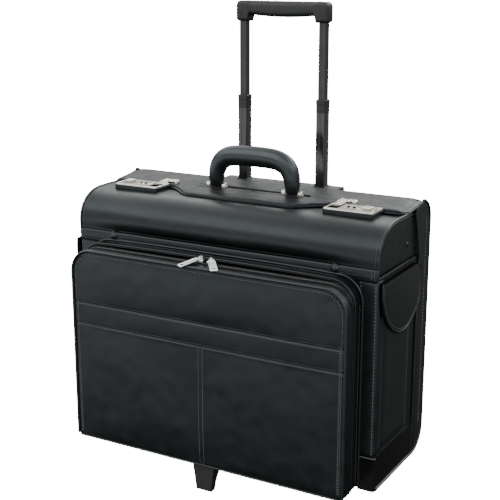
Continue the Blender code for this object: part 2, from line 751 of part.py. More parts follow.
# ---------------------------------------------------------------- wheels and foot
wy, wz = AXLE
for label, side in (("left", -1), ("right", 1)):
    x = side * WHEEL_X
    arch = [
        (0.0500, 0.0340), (0.0500, 0.0850), (0.0870, 0.0850), (0.0960, 0.0780),
        (0.1080, 0.0600), (0.1110, 0.0275), (0.1040, 0.0185), (0.0880, 0.0160),
        (0.0720, 0.0190), (0.0580, 0.0300),
    ]
    housing = outline(f"wheel_housing_{label}", [arch], "yz", x - 0.0175, x + 0.0175)
    well = arc(wy, wz, 0.0310, 180, -0, 14) + [(0.1190, 0.0000), (0.0570, 0.0000)]
    cut(housing, outline(f"wheel_well_{label}", [well], "yz", x - 0.0140, x + 0.0140))
    cut(housing, cylinder(f"axle_hole_{label}", 0.0033, (x - 0.02, wy, wz), (x + 0.02, wy, wz), "x", 16))
    adopt(housing, PLASTIC, 0.5)

    adopt(cylinder(f"wheel_axle_{label}", 0.0030, (x - 0.0185, wy, wz), (x + 0.0185, wy, wz), "x", 16),
          (0.5, 0.5, 0.5), 0.35, 1.0)

    tyre = [
        (0.0034, 0.0110), (0.0120, 0.0110), (0.0130, 0.0100), (0.0200, 0.0100),
        (0.0215, 0.0110), (0.0255, 0.0110), (WHEEL_R, 0.0090), (WHEEL_R, -0.0090),
        (0.0255, -0.0110), (0.0215, -0.0110), (0.0200, -0.0100), (0.0130, -0.0100),
        (0.0120, -0.0110), (0.0034, -0.0110),
    ]
    wheel = turned(f"wheel_{label}", tyre, "x", (x, wy, wz), 36)
    adopt(wheel, (0.02, 0.02, 0.02), 0.7)

foot_side = [(-0.1310, 0.0397), (-0.1310, 0.0015), (-0.1295, 0.0000), (-0.1215, 0.0000),
             (-0.1195, 0.0020), (-0.1180, 0.0140), (-0.1140, 0.0260), (-0.1080, 0.0340),
             (-0.1060, 0.0397)]
foot = outline("front_foot", [foot_side], "yz", -0.0200, 0.0200)
foot_front = mirror_u([(0.0120, -0.0100), (0.0120, 0.0000), (0.0175, 0.0397), (0.0175, 0.0500)])
keep(foot, outline("front_foot_taper", [foot_front], "xz", -0.1500, -0.0900))
adopt(foot, PLASTIC, 0.5)

# ---------------------------------------------------------------- placing
for obj in list(PARTS.objects) + list(CUTTERS.objects):
    obj.location.y += Y_SHIFT
bpy.context.view_layer.update()
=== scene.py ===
"""Looks of the rolling laptop case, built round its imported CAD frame.

Every length below is in metres. The case's own drawing frame has y = 0 about
half way through the body; Y0 carries those numbers into the row frame.
"""

import math

import bmesh
import bpy
from mathutils import Matrix, Vector, noise
from mathutils.bvhtree import BVHTree


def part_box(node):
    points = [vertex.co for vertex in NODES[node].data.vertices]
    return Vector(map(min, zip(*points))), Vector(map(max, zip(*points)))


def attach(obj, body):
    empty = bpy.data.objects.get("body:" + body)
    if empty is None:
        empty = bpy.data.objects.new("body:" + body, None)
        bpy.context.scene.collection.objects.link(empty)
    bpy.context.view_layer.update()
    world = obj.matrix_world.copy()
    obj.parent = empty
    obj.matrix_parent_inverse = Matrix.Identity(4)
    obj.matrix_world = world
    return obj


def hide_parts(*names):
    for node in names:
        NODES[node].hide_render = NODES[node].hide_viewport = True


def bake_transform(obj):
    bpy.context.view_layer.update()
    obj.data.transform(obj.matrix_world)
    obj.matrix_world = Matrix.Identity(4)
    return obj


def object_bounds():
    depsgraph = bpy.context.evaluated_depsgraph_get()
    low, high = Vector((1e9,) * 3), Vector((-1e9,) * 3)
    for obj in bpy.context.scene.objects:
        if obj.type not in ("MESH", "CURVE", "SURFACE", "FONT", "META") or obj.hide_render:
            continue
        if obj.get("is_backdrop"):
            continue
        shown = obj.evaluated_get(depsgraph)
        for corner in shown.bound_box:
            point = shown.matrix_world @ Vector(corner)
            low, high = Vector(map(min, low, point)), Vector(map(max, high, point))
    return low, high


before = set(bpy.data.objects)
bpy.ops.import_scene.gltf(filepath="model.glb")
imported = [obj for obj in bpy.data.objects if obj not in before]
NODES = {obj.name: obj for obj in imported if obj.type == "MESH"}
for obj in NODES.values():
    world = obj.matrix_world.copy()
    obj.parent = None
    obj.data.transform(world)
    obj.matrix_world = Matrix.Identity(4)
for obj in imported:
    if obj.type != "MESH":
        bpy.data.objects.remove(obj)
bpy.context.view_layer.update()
Y0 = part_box("front_panel")[0].y + 0.084
HALF_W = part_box("right_side_panel")[1].x
TUBE_X = (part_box("outer_tube_right")[0].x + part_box("outer_tube_right")[1].x) / 2
TUBE_Y = (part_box("outer_tube_right")[0].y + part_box("outer_tube_right")[1].y) / 2 - Y0
SIDES = (("left", -1), ("right", 1))


# ------------------------------------------------------------------ materials
def shader(name):
    mat = bpy.data.materials.new(name)
    mat.use_nodes = True
    return mat, mat.node_tree, mat.node_tree.nodes["Principled BSDF"]


def add(tree, kind, **values):
    node = tree.nodes.new(kind)
    for key, value in values.items():
        if hasattr(node, key) and key not in node.inputs:
            setattr(node, key, value)
        else:
            node.inputs[key.replace("_", " ")].default_value = value
    return node


def wire(tree, a, b):
    tree.links.new(a, b)


def space(tree, stretch=(1, 1, 1)):
    co = add(tree, "ShaderNodeTexCoord")
    mapping = add(tree, "ShaderNodeMapping")
    mapping.inputs["Scale"].default_value = stretch
    wire(tree, co.outputs["Object"], mapping.inputs["Vector"])
    return mapping.outputs["Vector"]


def cloud(tree, where, scale, detail=3.0, rough=0.55):
    node = add(tree, "ShaderNodeTexNoise")
    node.inputs["Scale"].default_value = scale
    node.inputs["Detail"].default_value = detail
    node.inputs["Roughness"].default_value = rough
    wire(tree, where, node.inputs["Vector"])
    return node.outputs["Fac"]


def cells(tree, where, scale, feature="F1"):
    node = add(tree, "ShaderNodeTexVoronoi")
    node.feature = feature
    node.inputs["Scale"].default_value = scale
    wire(tree, where, node.inputs["Vector"])
    return node.outputs["Distance"]


def ramp(tree, fac, stops):
    node = add(tree, "ShaderNodeValToRGB")
    while len(node.color_ramp.elements) < len(stops):
        node.color_ramp.elements.new(0.5)
    for element, (at, colour) in zip(node.color_ramp.elements, stops):
        element.position = at
        element.color = (*colour, 1.0)
    wire(tree, fac, node.inputs["Fac"])
    return node.outputs["Color"]


def spread(tree, fac, low, high, from_low=0.3, from_high=0.7):
    node = add(tree, "ShaderNodeMapRange")
    for key, value in (("From Min", from_low), ("From Max", from_high), ("To Min", low), ("To Max", high)):
        node.inputs[key].default_value = value
    wire(tree, fac, node.inputs["Value"])
    return node.outputs["Result"]


def bump(tree, height, strength, distance, under=None):
    node = add(tree, "ShaderNodeBump")
    node.inputs["Strength"].default_value = strength
    node.inputs["Distance"].default_value = distance
    wire(tree, height, node.inputs["Height"])
    if under is not None:
        wire(tree, under, node.inputs["Normal"])
    return node.outputs["Normal"]


def leather(name, low, high, rough, grain=0.35, pores=620.0, soft=0.5, spec=0.30):
    """Smooth coated leather: fine pebble grain, slow unevenness, faint tone changes."""
    mat, tree, bsdf = shader(name)
    where = space(tree)
    slow = cloud(tree, where, 9.0, 3.0)
    middle = cloud(tree, where, 55.0, 4.0)
    pebble = cells(tree, where, pores)
    creases = cells(tree, where, pores * 0.42, "DISTANCE_TO_EDGE")
    tiny = cloud(tree, where, 1400.0, 2.0)
    tone = add(tree, "ShaderNodeMix", data_type="FLOAT")
    tone.inputs[0].default_value = 0.45
    wire(tree, slow, tone.inputs[2])
    wire(tree, middle, tone.inputs[3])
    wire(tree, ramp(tree, tone.outputs[0], [(0.32, low), (0.68, high)]), bsdf.inputs["Base Color"])
    wire(tree, spread(tree, middle, rough - 0.05, rough + 0.06), bsdf.inputs["Roughness"])
    n = bump(tree, slow, soft * 0.5, 0.0040)
    n = bump(tree, middle, soft * 0.35, 0.0006, n)
    n = bump(tree, creases, grain * 0.5, 0.00022, n)
    n = bump(tree, pebble, grain, 0.00025, n)
    n = bump(tree, tiny, grain * 0.5, 0.00005, n)
    wire(tree, n, bsdf.inputs["Normal"])
    bsdf.inputs["Specular IOR Level"].default_value = spec
    bsdf.inputs["Specular Tint"].default_value = (0.84, 0.96, 1.0, 1.0)
    return mat


def moulded(name, low, high, rough, texture=0.35, scale=900.0, spec=0.35):
    """Moulded plastic with a fine spark-eroded texture."""
    mat, tree, bsdf = shader(name)
    where = space(tree)
    fine = cloud(tree, where, scale, 3.0, 0.7)
    slow = cloud(tree, where, 14.0, 3.0)
    wire(tree, ramp(tree, slow, [(0.35, low), (0.65, high)]), bsdf.inputs["Base Color"])
    wire(tree, spread(tree, slow, rough - 0.04, rough + 0.05), bsdf.inputs["Roughness"])
    n = bump(tree, slow, 0.12, 0.0010)
    n = bump(tree, fine, texture, 0.00012, n)
    wire(tree, n, bsdf.inputs["Normal"])
    bsdf.inputs["Specular IOR Level"].default_value = spec
    return mat


def metal(name, low, high, rough, stretch=(1, 1, 1), scale=240.0, scratch=0.25, metallic=1.0):
    """Plated or drawn metal with directional scratches and slight tarnish."""
    mat, tree, bsdf = shader(name)
    where = space(tree, stretch)
    lines = cloud(tree, where, scale, 5.0, 0.65)
    slow = cloud(tree, space(tree), 60.0, 3.0)
    wire(tree, ramp(tree, slow, [(0.3, low), (0.7, high)]), bsdf.inputs["Base Color"])
    wire(tree, spread(tree, lines, rough - 0.07, rough + 0.10), bsdf.inputs["Roughness"])
    wire(tree, bump(tree, lines, scratch, 0.00006), bsdf.inputs["Normal"])
    bsdf.inputs["Metallic"].default_value = metallic
    return mat


def woven(name, low, high, thread=0.0007, rough=0.8, depth=0.8):
    """Plain woven cloth: two crossing sets of threads."""
    mat, tree, bsdf = shader(name)
    where = space(tree)
    waves = []
    for direction in ("X", "Z"):
        node = add(tree, "ShaderNodeTexWave")
        node.bands_direction = direction
        node.inputs["Scale"].default_value = 1.0 / thread / 3.18
        node.inputs["Distortion"].default_value = 0.6
        node.inputs["Detail"].default_value = 1.0
        wire(tree, where, node.inputs["Vector"])
        waves.append(node.outputs["Fac"])
    mix = add(tree, "ShaderNodeMath", operation="MAXIMUM")
    wire(tree, waves[0], mix.inputs[0])
    wire(tree, waves[1], mix.inputs[1])
    slow = cloud(tree, where, 30.0, 3.0)
    tone = add(tree, "ShaderNodeMix", data_type="FLOAT")
    tone.inputs[0].default_value = 0.55
    wire(tree, mix.outputs[0], tone.inputs[2])
    wire(tree, slow, tone.inputs[3])
    wire(tree, ramp(tree, tone.outputs[0], [(0.2, low), (0.8, high)]), bsdf.inputs["Base Color"])
    n = bump(tree, slow, 0.3, 0.002)
    wire(tree, bump(tree, mix.outputs[0], depth, 0.00025, n), bsdf.inputs["Normal"])
    bsdf.inputs["Roughness"].default_value = rough
    bsdf.inputs["Sheen Weight"].default_value = 0.15
    bsdf.inputs["Specular IOR Level"].default_value = 0.2
    return mat


M_BODY = leather("leather_body", (0.0022, 0.0027, 0.0029), (0.0035, 0.0040, 0.0043), 0.40, grain=0.30, soft=0.28)
M_LID = leather("leather_lid", (0.0024, 0.0028, 0.0030), (0.0037, 0.0042, 0.0045), 0.37, grain=0.26, soft=0.22)
M_GRIP = leather("leather_grip", (0.0024, 0.0028, 0.0030), (0.0037, 0.0042, 0.0045), 0.37, grain=0.26, soft=0.22, spec=0.50)
M_PAD = leather("leather_padded", (0.0025, 0.0030, 0.0032), (0.0038, 0.0043, 0.0046), 0.35, grain=0.30, soft=0.35)
M_TAB = leather("leather_tab", (0.0027, 0.0030, 0.0032), (0.0041, 0.0046, 0.0048), 0.46, grain=0.55, pores=420.0, soft=0.8, spec=0.26)
M_PIPE = leather("leather_piping", (0.0034, 0.0040, 0.0042), (0.0054, 0.0060, 0.0064), 0.33, grain=0.20, pores=800.0, soft=0.2, spec=0.4)
M_SIDE = leather("leather_side", (0.0028, 0.0032, 0.0033), (0.0040, 0.0045, 0.0046), 0.52, grain=0.45, soft=0.3, spec=0.25)
# thread: a grey much lighter than the leather, part its own tone and part painted highlight where the stitches catch
# light
M_THREAD = leather("thread", (0.056, 0.062, 0.066), (0.094, 0.103, 0.109), 0.50, grain=0.6, pores=2400.0, soft=0.0)
M_LINING = woven("lining_cloth", (0.030, 0.031, 0.034), (0.060, 0.062, 0.067), 0.0008)
M_TAPE = woven("zip_tape", (0.006, 0.006, 0.007), (0.014, 0.014, 0.015), 0.0006, rough=0.7)
M_TEETH = moulded("zip_teeth", (0.010, 0.010, 0.011), (0.018, 0.018, 0.019), 0.30, 0.1)
M_NICKEL = metal("nickel_plate", (0.40, 0.385, 0.35), (0.60, 0.58, 0.53), 0.24, (1, 6, 6))
# sliders and pulls: a copy of the nickel made much lighter, standing in for the light they catch: painted highlight
M_NICKEL_PAINTED_BRIGHT = metal("nickel_painted_highlight", (0.86, 0.87, 0.88), (0.96, 0.97, 0.98), 0.34, (1, 6, 6), scratch=0.12)
# a darker nickel: the lock body's finish, and painted shade on the floors of the slide track and hasp pocket
M_NICKEL_DARK = metal("nickel_dark_and_recess_shade", (0.20, 0.19, 0.17), (0.34, 0.32, 0.28), 0.38, (6, 1, 6))
M_RIVET = metal("black_rivet_finish", (0.010, 0.010, 0.011), (0.024, 0.024, 0.026), 0.22, (1, 1, 1), 400.0, 0.2, 0.6)
M_GUARD = moulded("guard_gloss", (0.0045, 0.0048, 0.0052), (0.0072, 0.0076, 0.0080), 0.10, 0.03, 300.0, 0.5)
M_PLASTIC = moulded("plastic_moulded", (0.0050, 0.0056, 0.0060), (0.0075, 0.0083, 0.0088), 0.48, 0.45)
M_COLLAR = moulded("plastic_collar", (0.0030, 0.0032, 0.0034), (0.0047, 0.0050, 0.0053), 0.40, 0.25)
M_TUBE = metal("tube_anodised", (0.0100, 0.0115, 0.0130), (0.0170, 0.0190, 0.0210), 0.34, (60, 60, 1), 26.0, 0.12, 0.35)
M_MID = metal("tube_gloss", (0.008, 0.009, 0.010), (0.014, 0.016, 0.018), 0.16, (60, 60, 1), 26.0, 0.06, 0.20)
# near-black plates set in holes, gaps and folds: painted shade
M_PAINTED_SHADE = moulded("shadow_gap", (0.0004, 0.0004, 0.0005), (0.0008, 0.0008, 0.0009), 0.8, 0.1, 300.0, 0.02)
M_RUBBER = moulded("wheel_rubber_finish", (0.0050, 0.0050, 0.0050), (0.0085, 0.0085, 0.0085), 0.72, 0.6, 500.0, 0.2)
M_HUB = moulded("wheel_hub_finish", (0.0100, 0.0105, 0.0110), (0.0150, 0.0155, 0.0165), 0.45, 0.3)
M_STEEL = metal("axle_finish", (0.42, 0.42, 0.43), (0.58, 0.58, 0.60), 0.32, (40, 1, 1))
M_INK = moulded("dial_ink", (0.010, 0.010, 0.010), (0.016, 0.016, 0.016), 0.6, 0.1)


# ------------------------------------------------------------------ mesh tools
def link(obj):
    bpy.context.scene.collection.objects.link(obj)
    return obj


def shade(obj, angle=42.0):
    obj.data.shade_smooth()
    obj.data.set_sharp_from_angle(angle=math.radians(angle))
    return obj


def build(name, verts, faces, mats, smooth=42.0, face_mats=None, shift=True):
    mesh = bpy.data.meshes.new(name)
    mesh.from_pydata([(v[0], v[1] + (Y0 if shift else 0.0), v[2]) for v in verts], [], [tuple(f) for f in faces])
    mats = mats if isinstance(mats, (list, tuple)) else [mats]
    for m in mats:
        mesh.materials.append(m)
    if face_mats:
        for poly, index in zip(mesh.polygons, face_mats):
            poly.material_index = index
    bm = bmesh.new()
    bm.from_mesh(mesh)
    bmesh.ops.remove_doubles(bm, verts=bm.verts, dist=2e-6)
    bmesh.ops.dissolve_degenerate(bm, edges=bm.edges, dist=1e-7)
    bmesh.ops.recalc_face_normals(bm, faces=bm.faces)
    bm.to_mesh(mesh)
    bm.free()
    obj = link(bpy.data.objects.new(name, mesh))
    return shade(obj, smooth)


def bake(obj):
    """Puts the result of the modifiers into the mesh itself."""
    bpy.context.view_layer.update()
    graph = bpy.context.evaluated_depsgraph_get()
    mesh = bpy.data.meshes.new_from_object(obj.evaluated_get(graph))
    obj.modifiers.clear()
    obj.data = mesh
    return obj


def bevel(obj, width, segments=3, angle=30.0, keep_live=False):
    mod = obj.modifiers.new("round_edges", "BEVEL")
    mod.width = width
    mod.segments = segments
    mod.limit_method = "ANGLE"
    mod.angle_limit = math.radians(angle)
    mod.harden_normals = False
    if not keep_live:
        bake(obj)
        shade(obj, 50)
    return obj


def place(obj, body, stands_for=()):
    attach(obj, body)
    if stands_for:
        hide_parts(*([stands_for] if isinstance(stands_for, str) else stands_for))
    return obj


def box(name, lo, hi, mat, round_edge=0.0, segments=3, smooth=50.0):
    (x0, y0, z0), (x1, y1, z1) = lo, hi
    verts = [(x, y, z) for x in (x0, x1) for y in (y0, y1) for z in (z0, z1)]
    faces = [(0, 1, 3, 2), (4, 6, 7, 5), (0, 4, 5, 1), (2, 3, 7, 6), (0, 2, 6, 4), (1, 5, 7, 3)]
    obj = build(name, verts, faces, mat, smooth)
    if round_edge:
        bevel(obj, round_edge, segments)
    return obj


def loft(rings, closed=True, cap=True, first=0):
    """Verts and faces through equal rings of points."""
    verts, faces = [], []
    n = len(rings[0])
    for ring in rings:
        verts += list(ring)
    for i in range(len(rings) - 1):
        for j in range(n if closed else n - 1):
            k = (j + 1) % n
            a, b = first + i * n, first + (i + 1) * n
            faces.append((a + j, a + k, b + k, b + j))
    if cap and closed:
        faces.append(tuple(first + j for j in reversed(range(n))))
        faces.append(tuple(first + (len(rings) - 1) * n + j for j in range(n)))
    return verts, faces


def merge(parts):
    """Several (verts, faces) as one."""
    verts, faces = [], []
    for v, f in parts:
        base = len(verts)
        verts += v
        faces += [tuple(i + base for i in face) for face in f]
    return verts, faces


def frames(path, up, closed=False):
    """(point, side, top) along a path, turning as little as it can."""
    pts = [Vector(p) for p in path]
    n = len(pts)
    out = []
    top = Vector(up).normalized()
    for i in range(n):
        a = pts[(i - 1) % n] if closed or i else pts[i]
        b = pts[(i + 1) % n] if closed or i < n - 1 else pts[i]
        t = (b - a).normalized()
        top = (top - t * top.dot(t)).normalized()
        out.append((pts[i], t.cross(top), top, t))
    return out


def sweep(path, section, up=(0, 0, 1), closed=False, cap=True, fixed=False):
    """A section of (side, top) points carried along a path; section may be a function of the share along it."""
    rings = []
    fr = frames(path, up, closed)
    for i, (p, s, u, t) in enumerate(fr):
        if fixed:
            u = Vector(up) - t * Vector(up).dot(t)
            u.normalize()
            s = t.cross(u)
        sec = section(i / (len(fr) - 1)) if callable(section) else section
        rings.append([p + s * a + u * b for a, b in sec])
    if closed:
        rings.append(rings[0])
    return loft(rings, True, cap and not closed)


def disc(r, n=10, squash=1.0):
    return [(r * math.cos(2 * math.pi * k / n), r * squash * math.sin(2 * math.pi * k / n)) for k in range(n)]


def spaced(points, step, closed=False):
    """Points at equal steps along a polyline."""
    pts = [Vector(p) for p in points]
    if closed:
        pts = pts + [pts[0]]
    total = sum((b - a).length for a, b in zip(pts, pts[1:]))
    count = max(1, round(total / step))
    step = total / count
    out, left, i, at = [pts[0].copy()], step, 0, 0.0
    travelled, target = 0.0, step
    for a, b in zip(pts, pts[1:]):
        seg = (b - a).length
        while seg > 0 and travelled + seg >= target - 1e-9 and len(out) < count + (0 if closed else 1):
            out.append(a + (b - a) * ((target - travelled) / seg))
            target += step
        travelled += seg
    if not closed and (out[-1] - pts[-1]).length > step * 0.5:
        out.append(pts[-1].copy())
    return out


def catmull(points, per=8, closed=False):
    """A smooth curve through the points."""
    pts = [Vector(p) for p in points]
    n = len(pts)
    out = []
    for i in range(n if closed else n - 1):
        p0 = pts[(i - 1) % n] if closed or i else pts[0] * 2 - pts[1]
        p1, p2 = pts[i], pts[(i + 1) % n]
        p3 = pts[(i + 2) % n] if closed or i + 2 < n else p2 * 2 - p1
        for k in range(per):
            t = k / per
            out.append(0.5 * ((2 * p1) + (p2 - p0) * t + (2 * p0 - 5 * p1 + 4 * p2 - p3) * t * t + (3 * p1 - p0 - 3 * p2 + p3) * t ** 3))
    if not closed:
        out.append(pts[-1])
    return out


def flat2(points, per=8, closed=False):
    return [(p.x, p.y) for p in catmull([(a, b, 0) for a, b in points], per, closed)]


def arc2(cu, cv, r, start, stop, count):
    return [(cu + r * math.cos(math.radians(start + (stop - start) * i / count)),
             cv + r * math.sin(math.radians(start + (stop - start) * i / count))) for i in range(count + 1)]


def cord(name, path, r, mat, body, up=(0, 0, 1), closed=False, n=10, squash=1.0):
    verts, faces = sweep(path, disc(r, n, squash), up, closed)
    return place(build(name, verts, faces, mat, 60), body)


def turned(profile, centre, axis, n=28):
    """(radius, along) profile turned round an axis through centre."""
    a = Vector(axis).normalized()
    s = a.orthogonal().normalized()
    t = a.cross(s)
    c = Vector(centre)
    verts, faces = [], []
    rows = []
    for r, h in profile:
        if r < 1e-6:
            rows.append([len(verts)])
            verts.append(c + a * h)
        else:
            rows.append([len(verts) + k for k in range(n)])
            verts += [c + a * h + (s * math.cos(2 * math.pi * k / n) + t * math.sin(2 * math.pi * k / n)) * r for k in range(n)]
    for p, q in zip(rows, rows[1:]):
        for k in range(n):
            m = (k + 1) % n
            if len(p) == 1 and len(q) == 1:
                continue
            if len(p) == 1:
                faces.append((p[0], q[k], q[m]))
            elif len(q) == 1:
                faces.append((p[k], p[m], q[0]))
            else:
                faces.append((p[k], p[m], q[m], q[k]))
    for row, flip in ((rows[0], True), (rows[-1], False)):
        if len(row) > 1:
            faces.append(tuple(reversed(row)) if flip else tuple(row))
    return verts, faces


def ring_turned(profile, centre, axis, n=28):
    """A closed (radius, along) profile turned round an axis: a ring."""
    a = Vector(axis).normalized()
    s = a.orthogonal().normalized()
    t = a.cross(s)
    c = Vector(centre)
    rings = []
    for k in range(n):
        d = s * math.cos(2 * math.pi * k / n) + t * math.sin(2 * math.pi * k / n)
        rings.append([c + a * h + d * r for r, h in profile])
    rings.append(rings[0])
    return loft(rings, True, False)


def inset(poly, d):
    """A closed outline moved inward by d (counter-clockwise outlines shrink)."""
    n = len(poly)
    area = sum(poly[i][0] * poly[(i + 1) % n][1] - poly[(i + 1) % n][0] * poly[i][1] for i in range(n))
    sign = 1.0 if area > 0 else -1.0
    out = []
    for i in range(n):
        a, b, c = Vector(poly[i - 1]), Vector(poly[i]), Vector(poly[(i + 1) % n])
        e, f = (b - a).normalized(), (c - b).normalized()
        m, k = Vector((-e.y, e.x)) * sign, Vector((-f.y, f.x)) * sign
        h = (m + k)
        if h.length < 1e-6:
            h = m
        h.normalize()
        cosine = max(0.45, h.dot(m))
        out.append(tuple(b + h * (d / cosine)))
    return out


def plate(outline, levels, to_space):
    """Rings of one outline at (inset, height) levels, capped at both ends."""
    rings = []
    for d, h in levels:
        rings.append([to_space(u, v, h) for u, v in inset(outline, d)])
    return loft(rings, True, True)


def sheet(fn, us, vs, thick, holes=None, round_rim=0.45):
    """A closed sheet whose outer face is fn(u, v); thick may be a function of (u, v).

    The hidden face lies a thickness below the outer one, and the rim is rounded.
    """
    nu, nv = len(us), len(vs)
    P = [[Vector(fn(u, v)) for v in vs] for u in us]
    N = [[None] * nv for _ in us]
    for i in range(nu):
        for j in range(nv):
            du = P[min(i + 1, nu - 1)][j] - P[max(i - 1, 0)][j]
            dv = P[i][min(j + 1, nv - 1)] - P[i][max(j - 1, 0)]
            n = du.cross(dv)
            N[i][j] = n.normalized() if n.length > 1e-14 else Vector((0, 0, 1))
    verts, faces, tags = [], [], []
    top = {}
    low = {}
    for i in range(nu):
        for j in range(nv):
            t = thick(us[i], vs[j]) if callable(thick) else thick
            top[i, j] = len(verts)
            verts.append(P[i][j])
            low[i, j] = len(verts)
            verts.append(P[i][j] - N[i][j] * t)
    solid = {}
    for i in range(nu - 1):
        for j in range(nv - 1):
            solid[i, j] = not (holes and holes((us[i] + us[i + 1]) / 2, (vs[j] + vs[j + 1]) / 2))
    rim = {}

    def middle(i, j, outward):
        key = (i, j)
        if key not in rim:
            t = thick(us[i], vs[j]) if callable(thick) else thick
            rim[key] = [len(verts), Vector((0, 0, 0)), t]
            verts.append(None)
        rim[key][1] = rim[key][1] + outward
        return rim[key][0]

    edges = []
    for (i, j), there in solid.items():
        if not there:
            continue
        faces.append((top[i, j], top[i + 1, j], top[i + 1, j + 1], top[i, j + 1]))
        tags.append(0)
        faces.append((low[i, j], low[i, j + 1], low[i + 1, j + 1], low[i + 1, j]))
        tags.append(1)
        for a, b, other in (((i, j), (i + 1, j), (i, j - 1)), ((i + 1, j), (i + 1, j + 1), (i + 1, j)),
                            ((i + 1, j + 1), (i, j + 1), (i, j + 1)), ((i, j + 1), (i, j), (i - 1, j))):
            if not solid.get(other, False):
                edges.append((a, b, (i, j)))
    for a, b, cell in edges:
        centre = (P[cell[0]][cell[1]] + P[cell[0] + 1][cell[1]] + P[cell[0]][cell[1] + 1] + P[cell[0] + 1][cell[1] + 1]) / 4
        mid = (P[a[0]][a[1]] + P[b[0]][b[1]]) / 2
        along = (P[b[0]][b[1]] - P[a[0]][a[1]])
        out = mid - centre
        if along.length > 1e-12:
            along.normalize()
            out = out - along * out.dot(along)
        n = N[a[0]][a[1]]
        out = out - n * out.dot(n)
        if out.length > 1e-12:
            out.normalize()
        ma, mb = middle(*a, out), middle(*b, out)
        faces.append((top[b], top[a], ma, mb))
        tags.append(0)
        faces.append((mb, ma, low[a], low[b]))
        tags.append(0)
    for (i, j), (index, out, t) in rim.items():
        out = out.normalized() if out.length > 1e-9 else Vector((0, 0, 0))
        verts[index] = P[i][j] - N[i][j] * (t / 2) + out * (t * round_rim)
    used = sorted({i for f in faces for i in f})
    remap = {old: new for new, old in enumerate(used)}
    return [verts[i] for i in used], [tuple(remap[i] for i in f) for f in faces], tags


def steps(a, b, n):
    return [a + (b - a) * i / n for i in range(n + 1)]


def ease(t):
    t = max(0.0, min(1.0, t))
    return t * t * (3 - 2 * t)


def lerp_at(table, x):
    """Piecewise smooth value from a table of (x, value)."""
    if x <= table[0][0]:
        return table[0][1]
    for (a, va), (b, vb) in zip(table, table[1:]):
        if x <= b:
            t = (x - a) / (b - a)
            return va + (vb - va) * t
    return table[-1][1]


# stitches are gathered per body, and each group becomes one mesh at the end
SEWN = {}


def bvh_of(obj):
    bpy.context.view_layer.update()
    return BVHTree.FromObject(obj, bpy.context.evaluated_depsgraph_get())


def onto(tree, path, direction, lift=0.0, reach=0.05):
    """Points of a path dropped on a surface along a direction, with the surface's normals."""
    d = Vector(direction).normalized()
    out = []
    for p in path:
        q = Vector((p[0], p[1] + Y0, p[2]))
        hit, normal, _, _ = tree.ray_cast(q - d * reach, d, 2 * reach)
        if hit is None:
            continue
        if normal.dot(d) > 0:
            normal = -normal
        out.append((hit - Vector((0, Y0, 0)) + normal * lift, normal))
    return out


def sew(group, body, path, normal, pitch=0.0036, length=0.0026, r=0.00042, tree=None, direction=None):
    """A line of stitches along a path: small domed threads sunk at both ends."""
    pts = spaced(path, pitch)
    if tree is not None:
        hits = onto(tree, pts, direction or (-Vector(normal)))
    else:
        hits = [(p, Vector(normal)) for p in pts]
    parts = SEWN.setdefault((group, body), [])
    for (a, n), (b, _) in zip(hits, hits[1:]):
        t = b - a
        if t.length < 1e-6 or t.length > pitch * 2.2:
            continue
        t.normalize()
        n = (n - t * n.dot(t)).normalized()
        s = t.cross(n)
        c = (a + b) / 2
        h = length / 2
        verts = [c - t * h - n * r * 0.6]
        for at, rr, up in ((-0.62, 0.85, 0.25), (0.0, 1.0, 0.55), (0.62, 0.85, 0.25)):
            for k in range(5):
                w = 2 * math.pi * k / 5
                verts.append(c + t * h * at + s * math.cos(w) * r * rr + n * (math.sin(w) * r * rr + r * up))
        verts.append(c + t * h - n * r * 0.6)
        faces = []
        for k in range(5):
            m = (k + 1) % 5
            faces.append((0, 1 + m, 1 + k))
            faces.append((1 + k, 1 + m, 6 + m, 6 + k))
            faces.append((6 + k, 6 + m, 11 + m, 11 + k))
            faces.append((11 + k, 11 + m, 16))
        parts.append((verts, faces))


def finish_sewing():
    for (group, body), parts in SEWN.items():
        verts, faces = merge(parts)
        place(build("stitches_" + group, verts, faces, M_THREAD, 80), body)


# ------------------------------------------------------------------ front lid
# Section of the lid's skin, bottom front to top rear, at mid width and at the ends.
LID_MID = [(-0.0808, 0.3498), (-0.0812, 0.3522), (-0.0842, 0.3562), (-0.0866, 0.3622), (-0.0868, 0.3700),
           (-0.0838, 0.3800), (-0.0772, 0.3893), (-0.0682, 0.3964), (-0.0565, 0.4014), (-0.0430, 0.4038),
           (-0.0280, 0.4042), (-0.0100, 0.4040), (0.0080, 0.4036), (0.0220, 0.4024), (0.0310, 0.3990)]
LID_END = [(-0.0838, 0.3498), (-0.0839, 0.3530), (-0.0842, 0.3575), (-0.0842, 0.3630), (-0.0832, 0.3695),
           (-0.0802, 0.3785), (-0.0745, 0.3868), (-0.0665, 0.3940), (-0.0560, 0.3994), (-0.0430, 0.4026),
           (-0.0280, 0.4036), (-0.0100, 0.4037), (0.0080, 0.4034), (0.0220, 0.4022), (0.0310, 0.3990)]
LID_MID_C = catmull([(0, y, z) for y, z in LID_MID], 5)
LID_END_C = catmull([(0, y, z) for y, z in LID_END], 5)
LID_N = len(LID_MID_C)


def lid_point(x, k):
    a = abs(x)
    w = ease((a - 0.120) / 0.105)
    m, e = LID_MID_C[k], LID_END_C[k]
    y, z = m.y + (e.y - m.y) * w, m.z + (e.z - m.z) * w
    # a slow swell and dip along the width, as stiffened leather shows
    swell = 0.0007 * noise.noise(Vector((x * 9.0, k * 0.05, 3.7))) * (1 - w * 0.5)
    share = k / (LID_N - 1)
    lift = swell * math.sin(math.pi * min(1, share * 1.3))
    return Vector((x, y - lift * (1 - share), z + lift))


lid_xs = steps(-0.2386, -0.2300, 4) + steps(-0.2300, 0.2300, 104)[1:] + steps(0.2300, 0.2386, 4)[1:]
verts, faces, tags = sheet(lambda u, v: lid_point(u, v), lid_xs, list(range(LID_N)), 0.0040)
front_lid = place(build("front_lid_skin", verts, faces, [M_LID, M_LINING], 50, tags), "front_lid", "front_lid")
lid_tree = bvh_of(front_lid)

